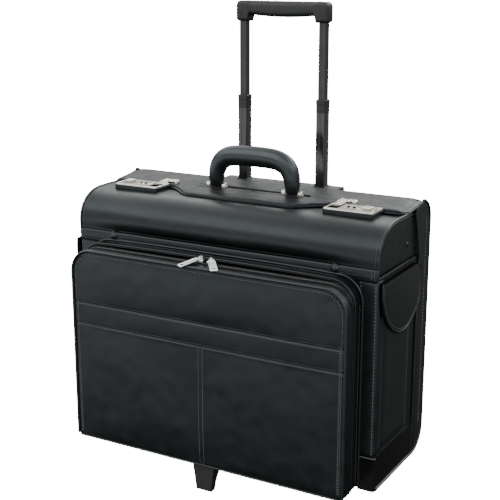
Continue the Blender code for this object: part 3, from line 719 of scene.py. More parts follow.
cap_outline = [(p.y, p.z) for p in LID_END_C][2:-1]
cap_outline = [(-0.0832, 0.3398)] + cap_outline + [(0.0345, 0.3950), (0.0362, 0.3890), (0.0470, 0.3440), (0.0466, 0.3398)]
for label, s in SIDES:
    def at(u, v, h, s=s):
        return Vector((s * h, u, v))
    levels = [(0.0012, 0.2348), (0.0006, 0.2352), (0.0004, 0.2380), (0.0016, 0.2390), (0.0040, 0.2394), (0.0120, 0.2397)]
    v, f = plate(cap_outline, levels, at)
    place(build(f"lid_end_{label}", v, f, M_SIDE, 40), "front_lid")
    # piping round the end, from the lower front corner to the rear lip
    line = [(s * 0.2388, y, z) for y, z in [(-0.0838, 0.3400), (-0.0842, 0.3450)] + [(p.y, p.z) for p in LID_END_C[1:]]]
    cord(f"lid_piping_{label}", spaced(line, 0.0020), 0.0017, M_PIPE, "front_lid", (s, 0, 0))
    inner = [(s * 0.2342, p.y, p.z) for p in LID_END_C[4:-6]]
    sew("front_lid", "front_lid", inner, (0, -0.6, 0.8), tree=lid_tree, direction=(0, 0.72, -0.69), r=0.00030)
    rear = [(s * 0.2396, u, w) for u, w in ((0.0468, 0.3405), (0.0466, 0.3440), (0.0360, 0.3888), (0.0340, 0.3950))]
    cord(f"lid_end_binding_{label}", spaced(rear, 0.003), 0.0017, M_PIPE, "front_lid", (s, 0, 0))
    # cap rivet
    v, f = turned([(0.0, 0.0016), (0.0016, 0.0014), (0.0029, 0.0007), (0.0034, -0.0004), (0.0034, -0.0016)],
                  (s * 0.2402, 0.010, 0.363), (s, 0, 0), 24)
    place(build(f"lid_rivet_{label}", v, f, M_RIVET, 50), "front_lid")


# ------------------------------------------------------------------ rear flap
def flap_front(x):
    """Front edge of the rear flap: straight wings, and a soft tab in the middle."""
    a = abs(x)
    if a <= 0.080:
        return -0.0335
    if a <= 0.1330:
        return -0.0335 + 0.0330 * ease((a - 0.080) / 0.053)
    if a <= 0.2240:
        return -0.0005
    t = min(1.0, (a - 0.2240) / 0.0158)
    return -0.0005 + 0.0160 * (1 - math.sqrt(max(0.0, 1 - t * t)))


FLAP_TOP = [(-0.036, 0.4084), (-0.0335, 0.4090), (-0.026, 0.4100), (0.0, 0.4106), (0.015, 0.4118), (0.040, 0.4143),
            (0.0500, 0.4152), (0.0577, 0.4157)]


def flap_point(x, row):
    a = abs(x)
    kind, t = row
    if kind == 0:      # from the front edge to the slit
        y = flap_front(x) + (max(0.0115, flap_front(x) + 0.0010) - flap_front(x)) * t
    elif kind == 1:    # absolute rows, kept behind the round end corners
        y = max(t, flap_front(x) + 0.0010 + (t - 0.0115) * 0.2)
        if t >= 0.040:
            y = t
    if kind in (0, 1):
        z = lerp_at(FLAP_TOP, y)
        wing = ease((a - 0.105) / 0.03)
        z = z * (1 - wing) + (0.4098 + (z - 0.4106) * 0.92 if y < 0.0 else z) * wing
        soft = (1 - wing) * ease((y + 0.034) / 0.01) * (1 - ease((y - 0.030) / 0.02))
        z += soft * 0.0009 * noise.noise(Vector((x * 16.0, y * 210.0, 1.3)))
        z += soft * 0.0006 * noise.noise(Vector((x * 45.0, y * 420.0, 7.3)))
        z += 0.0006 * noise.noise(Vector((x * 8.0, y * 18.0, 5.1)))
        # the slit's lips stand slightly proud, and dip at its ends
        near = math.exp(-((y - 0.015) / 0.0075) ** 2) * (1 - ease((a - 0.088) / 0.02))
        z += 0.0012 * near
        if kind == 0 and t < 0.12:
            z -= 0.0010 * (1 - t / 0.12) ** 2
        # the flap's ends droop and round over
        z -= 0.0040 * ease((a - 0.2200) / 0.0197) ** 2
        return Vector((x, y, z))
    # the shoulder and the rear face
    r = 0.0309
    if t <= 90:
        w = math.radians(90 - t)
        y, z = 0.0583 + r * math.cos(w), 0.3850 + r * math.sin(w) - 0.0001
    else:
        y, z = 0.0583 + r, 0.3850 - (t - 90) * 0.0011
    z -= 0.0040 * ease((a - 0.2200) / 0.0197) ** 2 * (1 - ease(t / 60))
    return Vector((x, y, z))


flap_rows = [(0, t) for t in (0, 0.02, 0.05, 0.09, 0.14, 0.22, 0.30, 0.38, 0.46, 0.54, 0.62, 0.70, 0.78, 0.86, 0.93)]
flap_rows += [(1, y) for y in (0.0115, 0.0140, 0.0160, 0.0185, 0.0200, 0.0220, 0.0245, 0.0275, 0.0310, 0.0350, 0.0400, 0.0440,
                               0.0470, 0.0500, 0.0520, 0.0540, 0.0560, 0.0577)]
flap_rows += [(2, t) for t in (8, 16, 24, 32, 40, 48, 56, 64, 72, 80, 90, 96, 102, 108, 114, 120)]
flap_xs = []
for lo, hi, n in ((-0.2397, -0.2240, 8), (-0.2240, -0.1330, 18), (-0.1330, -0.0920, 14), (-0.0920, 0.0920, 62),
                  (0.0920, 0.1330, 14), (0.1330, 0.2240, 18), (0.2240, 0.2397, 8)):
    flap_xs += steps(lo, hi, n)[(1 if flap_xs else 0):]
ROW_ID = list(range(len(flap_rows)))
SLIT = [i for i, row in enumerate(flap_rows) if row[0] == 1 and 0.0114 <= row[1] < 0.0184]


def flap_thick(u, v):
    row = flap_rows[int(v)]
    return 0.0019 if row[0] < 2 else 0.0014


verts, faces, tags = sheet(lambda u, v: flap_point(u, flap_rows[v]), flap_xs, ROW_ID, flap_thick,
                           holes=lambda u, v: abs(u) < 0.0918 and int(v) in SLIT)
rear_flap = build("rear_flap_skin", verts, faces, [M_TAB, M_LINING], 50, tags)
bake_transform(rear_flap)
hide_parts("handle_tab")
flap_tree = bvh_of(rear_flap)

# the second layer under it, set slightly forward, which gives the flap its double lip
def under_point(x, j):
    t = j / 10.0
    front = flap_front(x) - 0.0009
    y = front + (0.0560 - front) * t
    z = lerp_at(FLAP_TOP, y)
    a = abs(x)
    wing = ease((a - 0.105) / 0.03)
    z = z * (1 - wing) + (0.4098 + (z - 0.4106) * 0.92 if y < 0.0 else z) * wing
    z -= 0.0026 + 0.0022 * ease((a - 0.2250) / 0.0147) ** 2
    z = max(z, 0.4058)
    return Vector((x * 1.0015, y, z))


def under_thick(u, v):
    a = abs(u)
    y = under_point(u, v).y
    return max(0.0009, min(0.0030, under_point(u, v).z - 0.4046))


verts, faces, tags = sheet(under_point, flap_xs, list(range(11)), under_thick,
                           holes=lambda u, v: abs(u) < 0.0930 and 4 <= v < 7)
place(build("rear_flap_core", verts, faces, [M_TAB, M_LINING], 50, tags), "rear_lid", "rear_lid")

edge = []
for x in steps(-0.2330, 0.2330, 220):
    edge.append((x, flap_front(x) + 0.0042, 0.41))
sew("rear_flap", "rear_lid", edge, (0, 0, 1), tree=flap_tree, direction=(0, 0, -1), r=0.00030, pitch=0.0038)
for s in (-1, 1):
    sew("rear_flap", "rear_lid", [(s * 0.2350, y, 0.41) for y in (0.0190, 0.0480)], (0, 0, 1), tree=flap_tree, direction=(0, 0, -1), r=0.0003)
sew("rear_flap_low", "case", [(x, 0.0892, 0.3556) for x in steps(-0.2330, 0.2330, 40)], (0, 1, 0), tree=flap_tree, direction=(0, -1, 0))
for y in (0.0070, 0.0230):
    sew("slit", "rear_lid", [(x, y, 0.41) for x in steps(-0.094, 0.094, 60)], (0, 0, 1), tree=flap_tree, direction=(0, 0, -1), r=0.00026)


# ------------------------------------------------------------------ body
# Front cladding: strips either side of the pocket, wrapped round the front corners.
for label, s in SIDES:
    plan = [(0.2105, -0.0842), (0.2200, -0.0848), (0.2330, -0.0850)] + arc2(0.2352, -0.0790, 0.0060, -85, -5, 9) + \
           [(0.2413, -0.0760), (0.2412, -0.0728)]
    us = list(range(len(plan)))
    zs = steps(0.0880, 0.3335, 36)

    def clad(u, v, s=s, plan=plan):
        x, y = plan[u]
        swell = 0.00025 * noise.noise(Vector((x * 30, y * 30, v * 14 + s)))
        return Vector((s * (x + swell * 0.3), y - swell, v))

    order = us if s > 0 else us[::-1]
    verts, faces, tags = sheet(clad, order, zs, 0.0012)
    strip = place(build(f"front_corner_{label}", verts, faces, [M_PIPE, M_LINING], 60, tags), "case")
    tree = bvh_of(strip)
    for x in (0.2362, 0.2150):
        sew("front_corners", "case", [(s * x, -0.0900, z) for z in (0.0900, 0.3325)], (0, -1, 0), tree=tree, direction=(0, 1, 0), r=0.00075, pitch=0.0050, length=0.0036)
    # a pale thread-coloured cord along the guard's top edge: painted highlight
    top_line = [(s * x, y, 0.0872) for x, y in [(0.2190, -0.0862), (0.2380, -0.0862), (0.2416, -0.0850), (0.2424, -0.0830)]]
    cord(f"guard_top_painted_highlight_{label}", top_line, 0.0007, M_THREAD, "case", (0, 0, 1))

for label, s in SIDES:
    # the side panel: a leather-covered board
    rim = [(-0.0836, 0.0402)] + arc2(0.0530, 0.0750, 0.0348, -90, 0, 12) + arc2(0.0604, 0.3850, 0.0262, 0, 90, 10) + \
          [(0.0583, 0.4036)] + arc2(-0.0840, 0.3500, 0.1334, math.degrees(math.asin(0.0537 / 0.1334)), math.degrees(math.asin(-0.0113 / 0.1334)), 10) + \
          [(-0.0836, 0.3385)]
    levels = [(0.0010, 0.2342), (0.0003, 0.2347), (0.0003, 0.2392), (0.0010, 0.2400), (0.0022, 0.2402)]
    v, f = plate(rim, levels, lambda a, b, h, s=s: Vector((s * h, a, b)))
    place(build(f"side_skin_{label}", v, f, [M_SIDE], 40), "case", f"{label}_side_panel")

    # rear strip, laid over the side and bound along its front edge
    strip_line = [(0.0500, 0.0412)] + arc2(0.0532, 0.0750, 0.0345, -88, 0, 12) + arc2(0.0600, 0.3850, 0.0277, 0, 88, 10) + \
                 [(0.0480, 0.4102), (0.0385, 0.4048), (0.0352, 0.3975), (0.0362, 0.3890), (0.0424, 0.3660), (0.0490, 0.3395), (0.0500, 0.3300)]
    levels = [(0.0, 0.2399), (0.0, 0.2414), (0.0005, 0.2421), (0.0016, 0.2424), (0.0060, 0.2425)]
    v, f = plate(strip_line, levels, lambda a, b, h, s=s: Vector((s * h, a, b)))
    rear_strip = place(build(f"rear_side_strip_{label}", v, f, [M_SIDE], 40), "case")
    bound = [(s * 0.2420, y, z) for y, z in flat2([(0.0340, 0.4010), (0.0348, 0.3960), (0.0362, 0.3890), (0.0424, 0.3660), (0.0490, 0.3395), (0.0502, 0.3250),
                                                   (0.0502, 0.2000), (0.0502, 0.0460)], 6)]
    cord(f"rear_strip_binding_{label}", spaced(bound, 0.004), 0.0018, M_PIPE, "case", (s, 0, 0))
    seam = [(s * 0.2425, 0.0735, z) for z in (0.0800, 0.3900)]
    sew("side_strips", "case", seam, (s, 0, 0), r=0.00075, pitch=0.0050, length=0.0036)
    # piping round the whole rear edge and along the bottom
    line = [(s * 0.2414, y, z) for y, z in [(-0.0800, 0.0402), (0.0300, 0.0402)] + arc2(0.0530, 0.0752, 0.0353, -90, 0, 14) + [(0.0883, 0.2000), (0.0883, 0.3700)]
            + arc2(0.0600, 0.3850, 0.0284, 0, 82, 12)]
    cord(f"body_piping_{label}", spaced(line, 0.0030), 0.0025, M_PIPE, "case", (s, 0, 0))

# Hinge band, slightly wavy, stitched along its lower edge and at its ends.
def band_point(x, t):
    z = 0.3323 + 0.0166 * t
    bow = 0.0006 * math.sin(math.pi * t) + 0.0002 * noise.noise(Vector((x * 22, t * 2, 0.4)))
    lean = 0.0004 * ease((t - 0.8) / 0.2)
    return Vector((x, -0.0860 - bow + lean, z + 0.0002 * noise.noise(Vector((x * 12, 0, 9)))))


verts, faces, tags = sheet(band_point, steps(-0.2386, 0.2386, 120), steps(0, 1, 8), 0.0018)
band = place(build("hinge_band", verts, faces, [M_LID, M_LINING], 60, tags), "case", "hinge_strip")
tree = bvh_of(band)
sew("hinge_band", "case", [(x, -0.087, 0.3402) for x in (-0.2330, 0.2330)], (0, -1, 0), tree=tree, direction=(0, 1, 0), r=0.00034)
for s in (-1, 1):
    for x in (0.2300, 0.2345):
        sew("hinge_band", "case", [(s * x, -0.087, z) for z in (0.3350, 0.3478)], (0, -1, 0), tree=tree, direction=(0, 1, 0), r=0.00034, pitch=0.0030)
    v1, f1 = turned([(0.0, 0.0033), (0.0022, 0.0031), (0.0041, 0.0023), (0.0053, 0.0010), (0.0055, 0.0002)], (s * 0.1780, -0.0868, 0.3443), (0, -1, 0), 32)
    v2, f2 = ring_turned([(0.0048, 0.0), (0.0048, 0.0009), (0.0058, 0.0011), (0.0068, 0.0004), (0.0069, -0.0006), (0.0048, -0.0008)],
                         (s * 0.1780, -0.0866, 0.3443), (0, -1, 0), 32)
    v, f = merge([(v1, f1), (v2, f2)])
    place(build(f"band_stud_{'left' if s < 0 else 'right'}", v, f, M_RIVET, 50), "case", f"strip_stud_{'left' if s < 0 else 'right'}")

# Boards that carry over get a leather finish and broken edges.
def finish(node, mat, width=0.0, segments=2):
    obj = NODES[node]
    obj.data.materials.clear()
    obj.data.materials.append(mat)
    for poly in obj.data.polygons:
        poly.material_index = 0
    if width:
        bevel(obj, width, segments, 30, keep_live=True)
    return obj


finish("base_board", M_BODY, 0.0010)
finish("front_panel", M_BODY, 0.0006)
finish("rear_panel", M_BODY, 0.0008)
finish("rear_top_rail", M_BODY, 0.0008)
finish("file_divider", M_LINING, 0.0012)
for label, s in SIDES:
    finish(f"corner_guard_{label}", M_GUARD, 0.0006, 3)

# Lining: an open box of woven cloth inside the boards, and a bound top edge on the divider.
def liner():
    x, y0, y1, z0 = 0.2335, -0.0775, 0.0815, 0.0464
    parts = []
    t = 0.0006
    for lo, hi in (((-x, y0, z0), (x, 0.0560, z0 + t)),
                   ((-x, y0, z0), (x, y0 + t, 0.3370)), ((-x, y1 - t, 0.0860), (x, y1, 0.3740)),
                   ((-x, y0, z0), (-x + t, 0.0480, 0.3370)), ((x - t, y0, z0), (x, 0.0480, 0.3370))):
        c = [(a, b, d) for a in (lo[0], hi[0]) for b in (lo[1], hi[1]) for d in (lo[2], hi[2])]
        parts.append((c, [(0, 1, 3, 2), (4, 6, 7, 5), (0, 4, 5, 1), (2, 3, 7, 6), (0, 2, 6, 4), (1, 5, 7, 3)]))
    return merge(parts)


v, f = liner()
place(build("case_lining", v, f, M_LINING, 30), "case")
cord("divider_binding", [(x, 0, 0.3003) for x in steps(-0.2320, 0.2320, 40)], 0.0030, M_BODY, "case", n=12)


# ------------------------------------------------------------------ front pocket
def arch(half, z0, z1, r, n=8, rb=0.0):
    """Upright outline with round top corners, up the right side and down the left."""
    if rb:
        right = arc2(half - rb, z0 + rb, rb, -90, 0, 4)
    else:
        right = [(half, z0)]
    right += [(half, z0 + (z1 - z0) * k) for k in (0.3, 0.6)] + arc2(half - r, z1 - r, r, 0, 90, n)
    return right + [(-a, b) for a, b in reversed(right)]


def arch_line(half, z0, z1, r, step=0.004):
    pts = [(half, z0)] + arc2(half - r, z1 - r, r, 0, 90, 12)
    pts = pts + [(-a, b) for a, b in reversed(pts)]
    return [(p.x, p.y) for p in spaced([(a, b, 0) for a, b in pts], step)]


# gusset: a leather tunnel that stands off the body
def swell(line, rise=0.0020, half=0.1750):
    """The top of the tunnel stands a little proud along its middle."""
    return [(x, z + (rise * (1 - (x / half) ** 4) if z > 0.32 and abs(x) < half else 0.0)) for x, z in line]


g_line = swell(arch_line(0.2172, 0.0440, 0.3362, 0.0340, 0.0045))
def gusset_point(i, j):
    x, z = g_line[i]
    t = j / 6.0
    y = -0.0846 - (0.1086 - 0.0846) * t
    pinch = 0.0008 * math.sin(math.pi * t)
    cx, cz = 0.0, 0.18
    d = Vector((x, z - cz)).normalized()
    wob = 0.0004 * noise.noise(Vector((x * 18, t * 3, z * 18)))
    return Vector((x + d.x * (wob - pinch), y, z + d.y * (wob - pinch)))


verts, faces, tags = sheet(gusset_point, list(range(len(g_line))), list(range(7)), 0.0022)
gusset = place(build("pocket_gusset_skin", verts, faces, [M_BODY, M_LINING], 60, tags), "case", "pocket_gusset")
floor_v = box("pocket_floor_skin", (-0.2150, -0.1298, 0.0404), (0.2150, -0.0850, 0.0432), M_BODY, 0.0008)
place(floor_v, "case")
cord("gusset_rear_piping", [(x, -0.0866, z) for x, z in swell(arch_line(0.2190, 0.0440, 0.3376, 0.0350))], 0.0019, M_PIPE, "case", (0, -1, 0))
cord("gusset_front_binding", [(x, -0.1080, z) for x, z in swell(arch_line(0.2180, 0.0440, 0.3370, 0.0345))], 0.0012, M_PIPE, "case", (0, -1, 0))
gusset_tree = bvh_of(gusset)
for y, drop in ((-0.0905, 0.0), (-0.1066, 0.0)):
    for sgn in (-1, 1):
        sew("gusset_side", "case", [(sgn * 0.2400, y, z) for z in (0.0480, 0.3010)], (sgn, 0, 0), tree=gusset_tree, direction=(-sgn, 0, 0), r=0.00050, pitch=0.0040, length=0.0027)
    sew("gusset_top", "case", [(x, y, 0.3500) for x in (-0.1840, 0.1840)], (0, 0, 1), tree=gusset_tree, direction=(0, 0, -1), r=0.00046, pitch=0.0040, length=0.0027)

# zip: two woven tapes and two rows of moulded teeth
def tape(name, y0, y1, grow, body, stands_for=()):
    line = arch_line(0.2158 + grow, 0.0500, 0.3328 + grow, 0.0326, 0.0045)
    def fn(i, j):
        x, z = line[i]
        return Vector((x, y0 + (y1 - y0) * j, z))
    verts, faces, tags = sheet(fn, list(range(len(line))), [0, 0.5, 1], 0.0007)
    return place(build(name, verts, faces, M_TAPE, 60), body, stands_for)


tape("zip_tape_rear", -0.1078, -0.1116, 0.0, "case", "zipper_coil")
tape("zip_tape_front", -0.1125, -0.1166, 0.0, "pocket_cover")


def teeth(name, y, lean, body, phase):
    line = arch_line(0.2164, 0.0510, 0.3334, 0.0330, 0.0017)
    parts = []
    pts = [Vector((x, y, z)) for x, z in line]
    for i in range(1, len(pts) - 1):
        t = (pts[i + 1] - pts[i - 1]).normalized()
        n = Vector((-t.z, 0, t.x))
        if n.dot(pts[i] - Vector((0, y, 0.18))) < 0:
            n = -n
        c = pts[i] + t * phase
        a, b = Vector((0, 1, 0)), n
        ring = []
        for h, w, d in ((0.0, 0.00042, 0.00055), (0.5, 0.00055, 0.00070), (1.0, 0.00036, 0.00040)):
            o = c + a * (lean * 0.0013 * (h - 0.5))
            ring.append([o + t * w + b * d, o - t * w + b * d, o - t * w - b * 0.0003, o + t * w - b * 0.0003])
        parts.append(loft(ring))
    v, f = merge(parts)
    return place(build(name, v, f, M_TEETH, 40), body)


teeth("zip_teeth_rear", -0.11180, -1, "case", 0.0)
teeth("zip_teeth_front", -0.11245, 1, "pocket_cover", 0.00085)

# cover: a padded front on soft side walls
PH, PZ0, PZ1, PR = 0.2195, 0.0418, 0.3318, 0.0350
walls = arch(PH, PZ0, PZ1, PR, 10, 0.006)


def ring_at(d, y):
    return [Vector((u, y, v)) for u, v in inset(walls, d)]


n_ring = len(walls)
wall_levels = [(0.0030, -0.1150), (0.0012, -0.1146), (0.0000, -0.1152), (-0.0005, -0.1182), (-0.0008, -0.1220), (-0.0006, -0.1262),
               (0.0000, -0.1300), (0.0010, -0.1326), (0.0026, -0.1338)]
inner_levels = [(0.0062, -0.1320), (0.0040, -0.1290), (0.0032, -0.1220), (0.0030, -0.1150)]
rings = [ring_at(d, y) for d, y in wall_levels + inner_levels]
v, f = loft(rings, True, False)
walls_obj = place(build("pocket_cover_walls", v, f, [M_PAD], 60), "pocket_cover")


# the padded front panel
BAND0, BAND1 = 0.2210, 0.2525


def squeeze(x, z, half, z0, z1, r_top, r_low):
    """A point of the rectangle moved so that the rectangle's corners become round."""
    cx, cz = 0.0, (z0 + z1) / 2
    hx, hz = half, (z1 - z0) / 2
    a, b = (x - cx) / hx, (z - cz) / hz
    t = max(abs(a), abs(b))
    if t < 1e-6:
        return x, z
    bx, bz = x / t, (z - cz) / t          # where the ray meets the rectangle
    r = r_top if b > 0 else r_low
    kx, kz = hx - r, hz - r
    if abs(bx) > kx and abs(bz) > kz:
        # shorten the ray to the round corner
        lo, hi = 0.0, 1.0
        for _ in range(24):
            m = (lo + hi) / 2
            dx, dz = abs(bx) * m - kx, abs(bz) * m - kz
            outside = dx > 0 and dz > 0 and dx * dx + dz * dz > r * r
            if outside:
                hi = m
            else:
                lo = m
        share = lo
    else:
        share = 1.0
    k = 1 + (share - 1) * t ** 5
    return x * k, cz + (z - cz) * k


def crown(s, t, p=3.2):
    return (1 - abs(2 * s - 1) ** p) * (1 - abs(2 * t - 1) ** p)


FR_H, FR_Z0, FR_Z1 = PH - 0.0026, PZ0 + 0.0006, PZ1 - 0.0024


def front_y(x, z):
    """Depth of the padded front at (x, z)."""
    s = (x + FR_H) / (2 * FR_H)
    t = (z - FR_Z0) / (FR_Z1 - FR_Z0)
    y = -0.1338 - 0.0022 * crown(s, t, 6.0)
    if z >= BAND1:
        y -= 0.0022 * crown(s, (z - BAND1) / (FR_Z1 - BAND1), 2.6)
    elif z >= BAND0:
        y -= 0.0009 * crown(s, (z - BAND0) / (BAND1 - BAND0), 2.4)
    else:
        half = (abs(x)) / FR_H
        y -= 0.0024 * crown(half, (z - FR_Z0) / (BAND0 - FR_Z0), 3.0)
    # seams pull the leather in
    def groove(d, depth, width):
        return depth * math.exp(-(d / width) ** 2)
    y += groove(z - BAND1, 0.0012, 0.0018) + groove(z - BAND0, 0.0011, 0.0018)
    if z < BAND0:
        y += groove(abs(x) - 0.0023, 0.0006, 0.0012) + groove(x, 0.0003, 0.0030)
    return y


xs = [0.0]
for lo, hi, n in ((0.0, 0.0060, 8), (0.0060, 0.1900, 46), (0.1900, FR_H, 18)):
    xs += steps(lo, hi, n)[1:]
xs = [-x for x in reversed(xs[1:])] + xs
zs = []
for lo, hi, n in ((FR_Z0, 0.0600, 8), (0.0600, BAND0 - 0.006, 38), (BAND0 - 0.006, BAND0 + 0.006, 14), (BAND0 + 0.006, BAND1 - 0.006, 6),
                  (BAND1 - 0.006, BAND1 + 0.006, 14), (BAND1 + 0.006, 0.3100, 18), (0.3100, FR_Z1, 14)):
    zs += steps(lo, hi, n)[(1 if zs else 0):]


def front_point(x, z):
    px, pz = squeeze(x, z, FR_H, FR_Z0, FR_Z1, PR - 0.0034, 0.0040)
    y = front_y(x, z)
    # puckers where the top seam gathers the leather, and slow unevenness elsewhere
    top = FR_Z1 - z
    pucker = 0.00045 * math.sin(x * 900 + 2.0 * noise.noise(Vector((x * 30, 0, 0)))) * math.exp(-(top / 0.007) ** 2) * ease(top / 0.0015)
    low = z - BAND1
    pucker += 0.00022 * math.sin(x * 760) * math.exp(-(low / 0.005) ** 2) * (1 if low > 0 else 0)
    side = FR_H - abs(x)
    pucker += 0.00030 * math.sin(z * 850) * math.exp(-(side / 0.006) ** 2) * ease(side / 0.0015)
    wave = 0.0006 * noise.noise(Vector((x * 14, z * 14, 2.0))) + 0.0003 * noise.noise(Vector((x * 50, z * 50, 4.0)))
    edge = ease(min(side, top, z - FR_Z0) / 0.012)
    return Vector((px, y - pucker - wave * edge, pz))


verts, faces, tags = sheet(front_point, xs, zs, 0.0030)
pocket_front = build("pocket_cover_front", verts, faces, [M_PAD, M_LINING], 60, tags)


def puff(obj, pinned, pressure=0.5, cap=0.0016, until=12, stiff=40.0, ease_passes=40):
    """Cloth swells a closed padded piece between its sewn lines; then the result is kept, evened out."""
    group = obj.vertex_groups.new(name="sewn")
    rest = [v.co.copy() for v in obj.data.vertices]
    hold = []
    for v in obj.data.vertices:
        w = pinned(v.co)
        hold.append(w > 0.5)
        if w > 0:
            group.add([v.index], w, "REPLACE")
    mod = obj.modifiers.new("cloth", "CLOTH")
    c = mod.settings
    c.quality = 5
    c.mass = 0.30
    c.tension_stiffness = stiff
    c.compression_stiffness = stiff
    c.shear_stiffness = 10.0
    c.bending_stiffness = 4.0
    c.use_pressure = True
    c.uniform_pressure_force = pressure
    c.effector_weights.gravity = 0.0
    c.vertex_group_mass = "sewn"
    mod.collision_settings.use_collision = False
    scene = bpy.context.scene
    scene.frame_start, scene.frame_end = 1, until
    mod.point_cache.frame_start, mod.point_cache.frame_end = 1, until
    for f in range(1, until + 1):
        scene.frame_set(f)
    graph = bpy.context.evaluated_depsgraph_get()
    mesh = bpy.data.meshes.new_from_object(obj.evaluated_get(graph))
    obj.modifiers.clear()
    swell = []
    for a, v in zip(rest, mesh.vertices):
        d = v.co - a
        if not all(math.isfinite(k) for k in d):
            d = Vector((0, 0, 0))
        n = d.length
        swell.append(d * (cap * math.tanh(n / cap) / n) if n > 1e-9 else d)
    bpy.data.meshes.remove(mesh)
    # padding under the leather spreads the swell, so neighbours share it
    near = [[] for _ in rest]
    for e in obj.data.edges:
        p, q = e.vertices
        near[p].append(q)
        near[q].append(p)
    for _ in range(ease_passes):
        new = []
        for k, d in enumerate(swell):
            if hold[k] or not near[k]:
                new.append(Vector((0, 0, 0)))
                continue
            mean = Vector((0, 0, 0))
            for m in near[k]:
                mean += swell[m]
            new.append(d * 0.4 + mean * (0.6 / len(near[k])))
        swell = new
    for v, a, d in zip(obj.data.vertices, rest, swell):
        v.co = a + d
    obj.vertex_groups.clear()
    obj.data.update()
    scene.frame_set(1)
    return shade(obj, 60)


def front_pins(co):
    x, z = co.x, co.z
    edge = min(FR_H - abs(x), FR_Z1 - z, z - FR_Z0)
    # the round top corners
    kx, kz = FR_H - 0.033, FR_Z1 - 0.033
    if abs(x) > kx and z > kz:
        edge = min(edge, 0.033 - math.hypot(abs(x) - kx, z - kz))
    w = 1.0 if edge < 0.0035 else 0.0
    for d, wide in ((z - BAND1, 0.0016), (z - BAND0, 0.0016)):
        w = max(w, 1.0 if abs(d) < wide else 0.0)
    if z < BAND0 and abs(x) < 0.0034:
        w = 1.0
    return w


puff(pocket_front, front_pins)
place(pocket_front, "pocket_cover", "pocket_cover")
front_tree = bvh_of(pocket_front)

# welt round the front edge, trim at the foot, and its seams
welt = [(x, -0.1345, z) for x, z in arch_line(FR_H + 0.0012, FR_Z0 + 0.0015, FR_Z1 + 0.0012, PR - 0.0022, 0.003)]
cord("pocket_cover_welt", welt, 0.00205, M_PIPE, "pocket_cover", (0, -1, 0))
cord("pocket_cover_foot_trim", [(x, -0.1340, FR_Z0 - 0.0008) for x in steps(-FR_H + 0.002, FR_H - 0.002, 60)], 0.0015, M_PIPE, "pocket_cover", (0, -1, 0))
cord("pocket_cover_rim", [(x, -0.1150, z) for x, z in arch_line(PH - 0.0008, PZ0 + 0.002, PZ1 - 0.0004, PR, 0.003)], 0.0013, M_PIPE, "pocket_cover", (0, -1, 0))
NY = (0, 1, 0)
side_in = FR_H - 0.0040
run = arch_line(FR_H - 0.0042, FR_Z0 + 0.006, FR_Z1 - 0.0046, PR - 0.0060, 0.002)
sew("cover_edge", "pocket_cover", [(x, -0.14, z) for x, z in run], (0, -1, 0), tree=front_tree, direction=NY, pitch=0.0036, length=0.0027, r=0.00052)
for z in (BAND1 + 0.0024, BAND1 - 0.0024, BAND0 + 0.0022, BAND0 - 0.0024):
    sew("cover_band", "pocket_cover", [(-side_in, -0.14, z), (side_in, -0.14, z)], (0, -1, 0), tree=front_tree, direction=NY, r=0.00050)
for x in (-0.0034, 0.0034):
    sew("cover_seam", "pocket_cover", [(x, -0.14, z) for z in (FR_Z0 + 0.004, BAND0 - 0.004)], (0, -1, 0), tree=front_tree, direction=NY, r=0.00052)
# dense cross stitches hold the ends of the band and the lower panels
for s in (-1, 1):
    for z in steps(FR_Z0 + 0.008, BAND1 + 0.004, 62):
        x0 = side_in - 0.0010
        hits = onto(front_tree, [(s * x0, -0.14, z), (s * (x0 - 0.0032), -0.14, z + 0.0006)], NY)
        if len(hits) == 2:
            (a, n), (b, _) = hits
            t = (b - a).normalized()
            w = t.cross(n)
            r = 0.00050
            c = (a + b) / 2
            h = (b - a).length / 2
            verts = [c - t * h - n * r * 0.5]
            for at in (-0.6, 0.6):
                verts += [c + t * h * at + w * math.cos(q) * r + n * (math.sin(q) * r + r * 0.5) for q in [2 * math.pi * k / 5 for k in range(5)]]
            verts.append(c + t * h - n * r * 0.5)
            faces = [(0, 1 + (k + 1) % 5, 1 + k) for k in range(5)] + [(1 + k, 1 + (k + 1) % 5, 6 + (k + 1) % 5, 6 + k) for k in range(5)] + \
                    [(6 + k, 6 + (k + 1) % 5, 11) for k in range(5)]
            SEWN.setdefault(("cover_bars", "pocket_cover"), []).append((verts, faces))

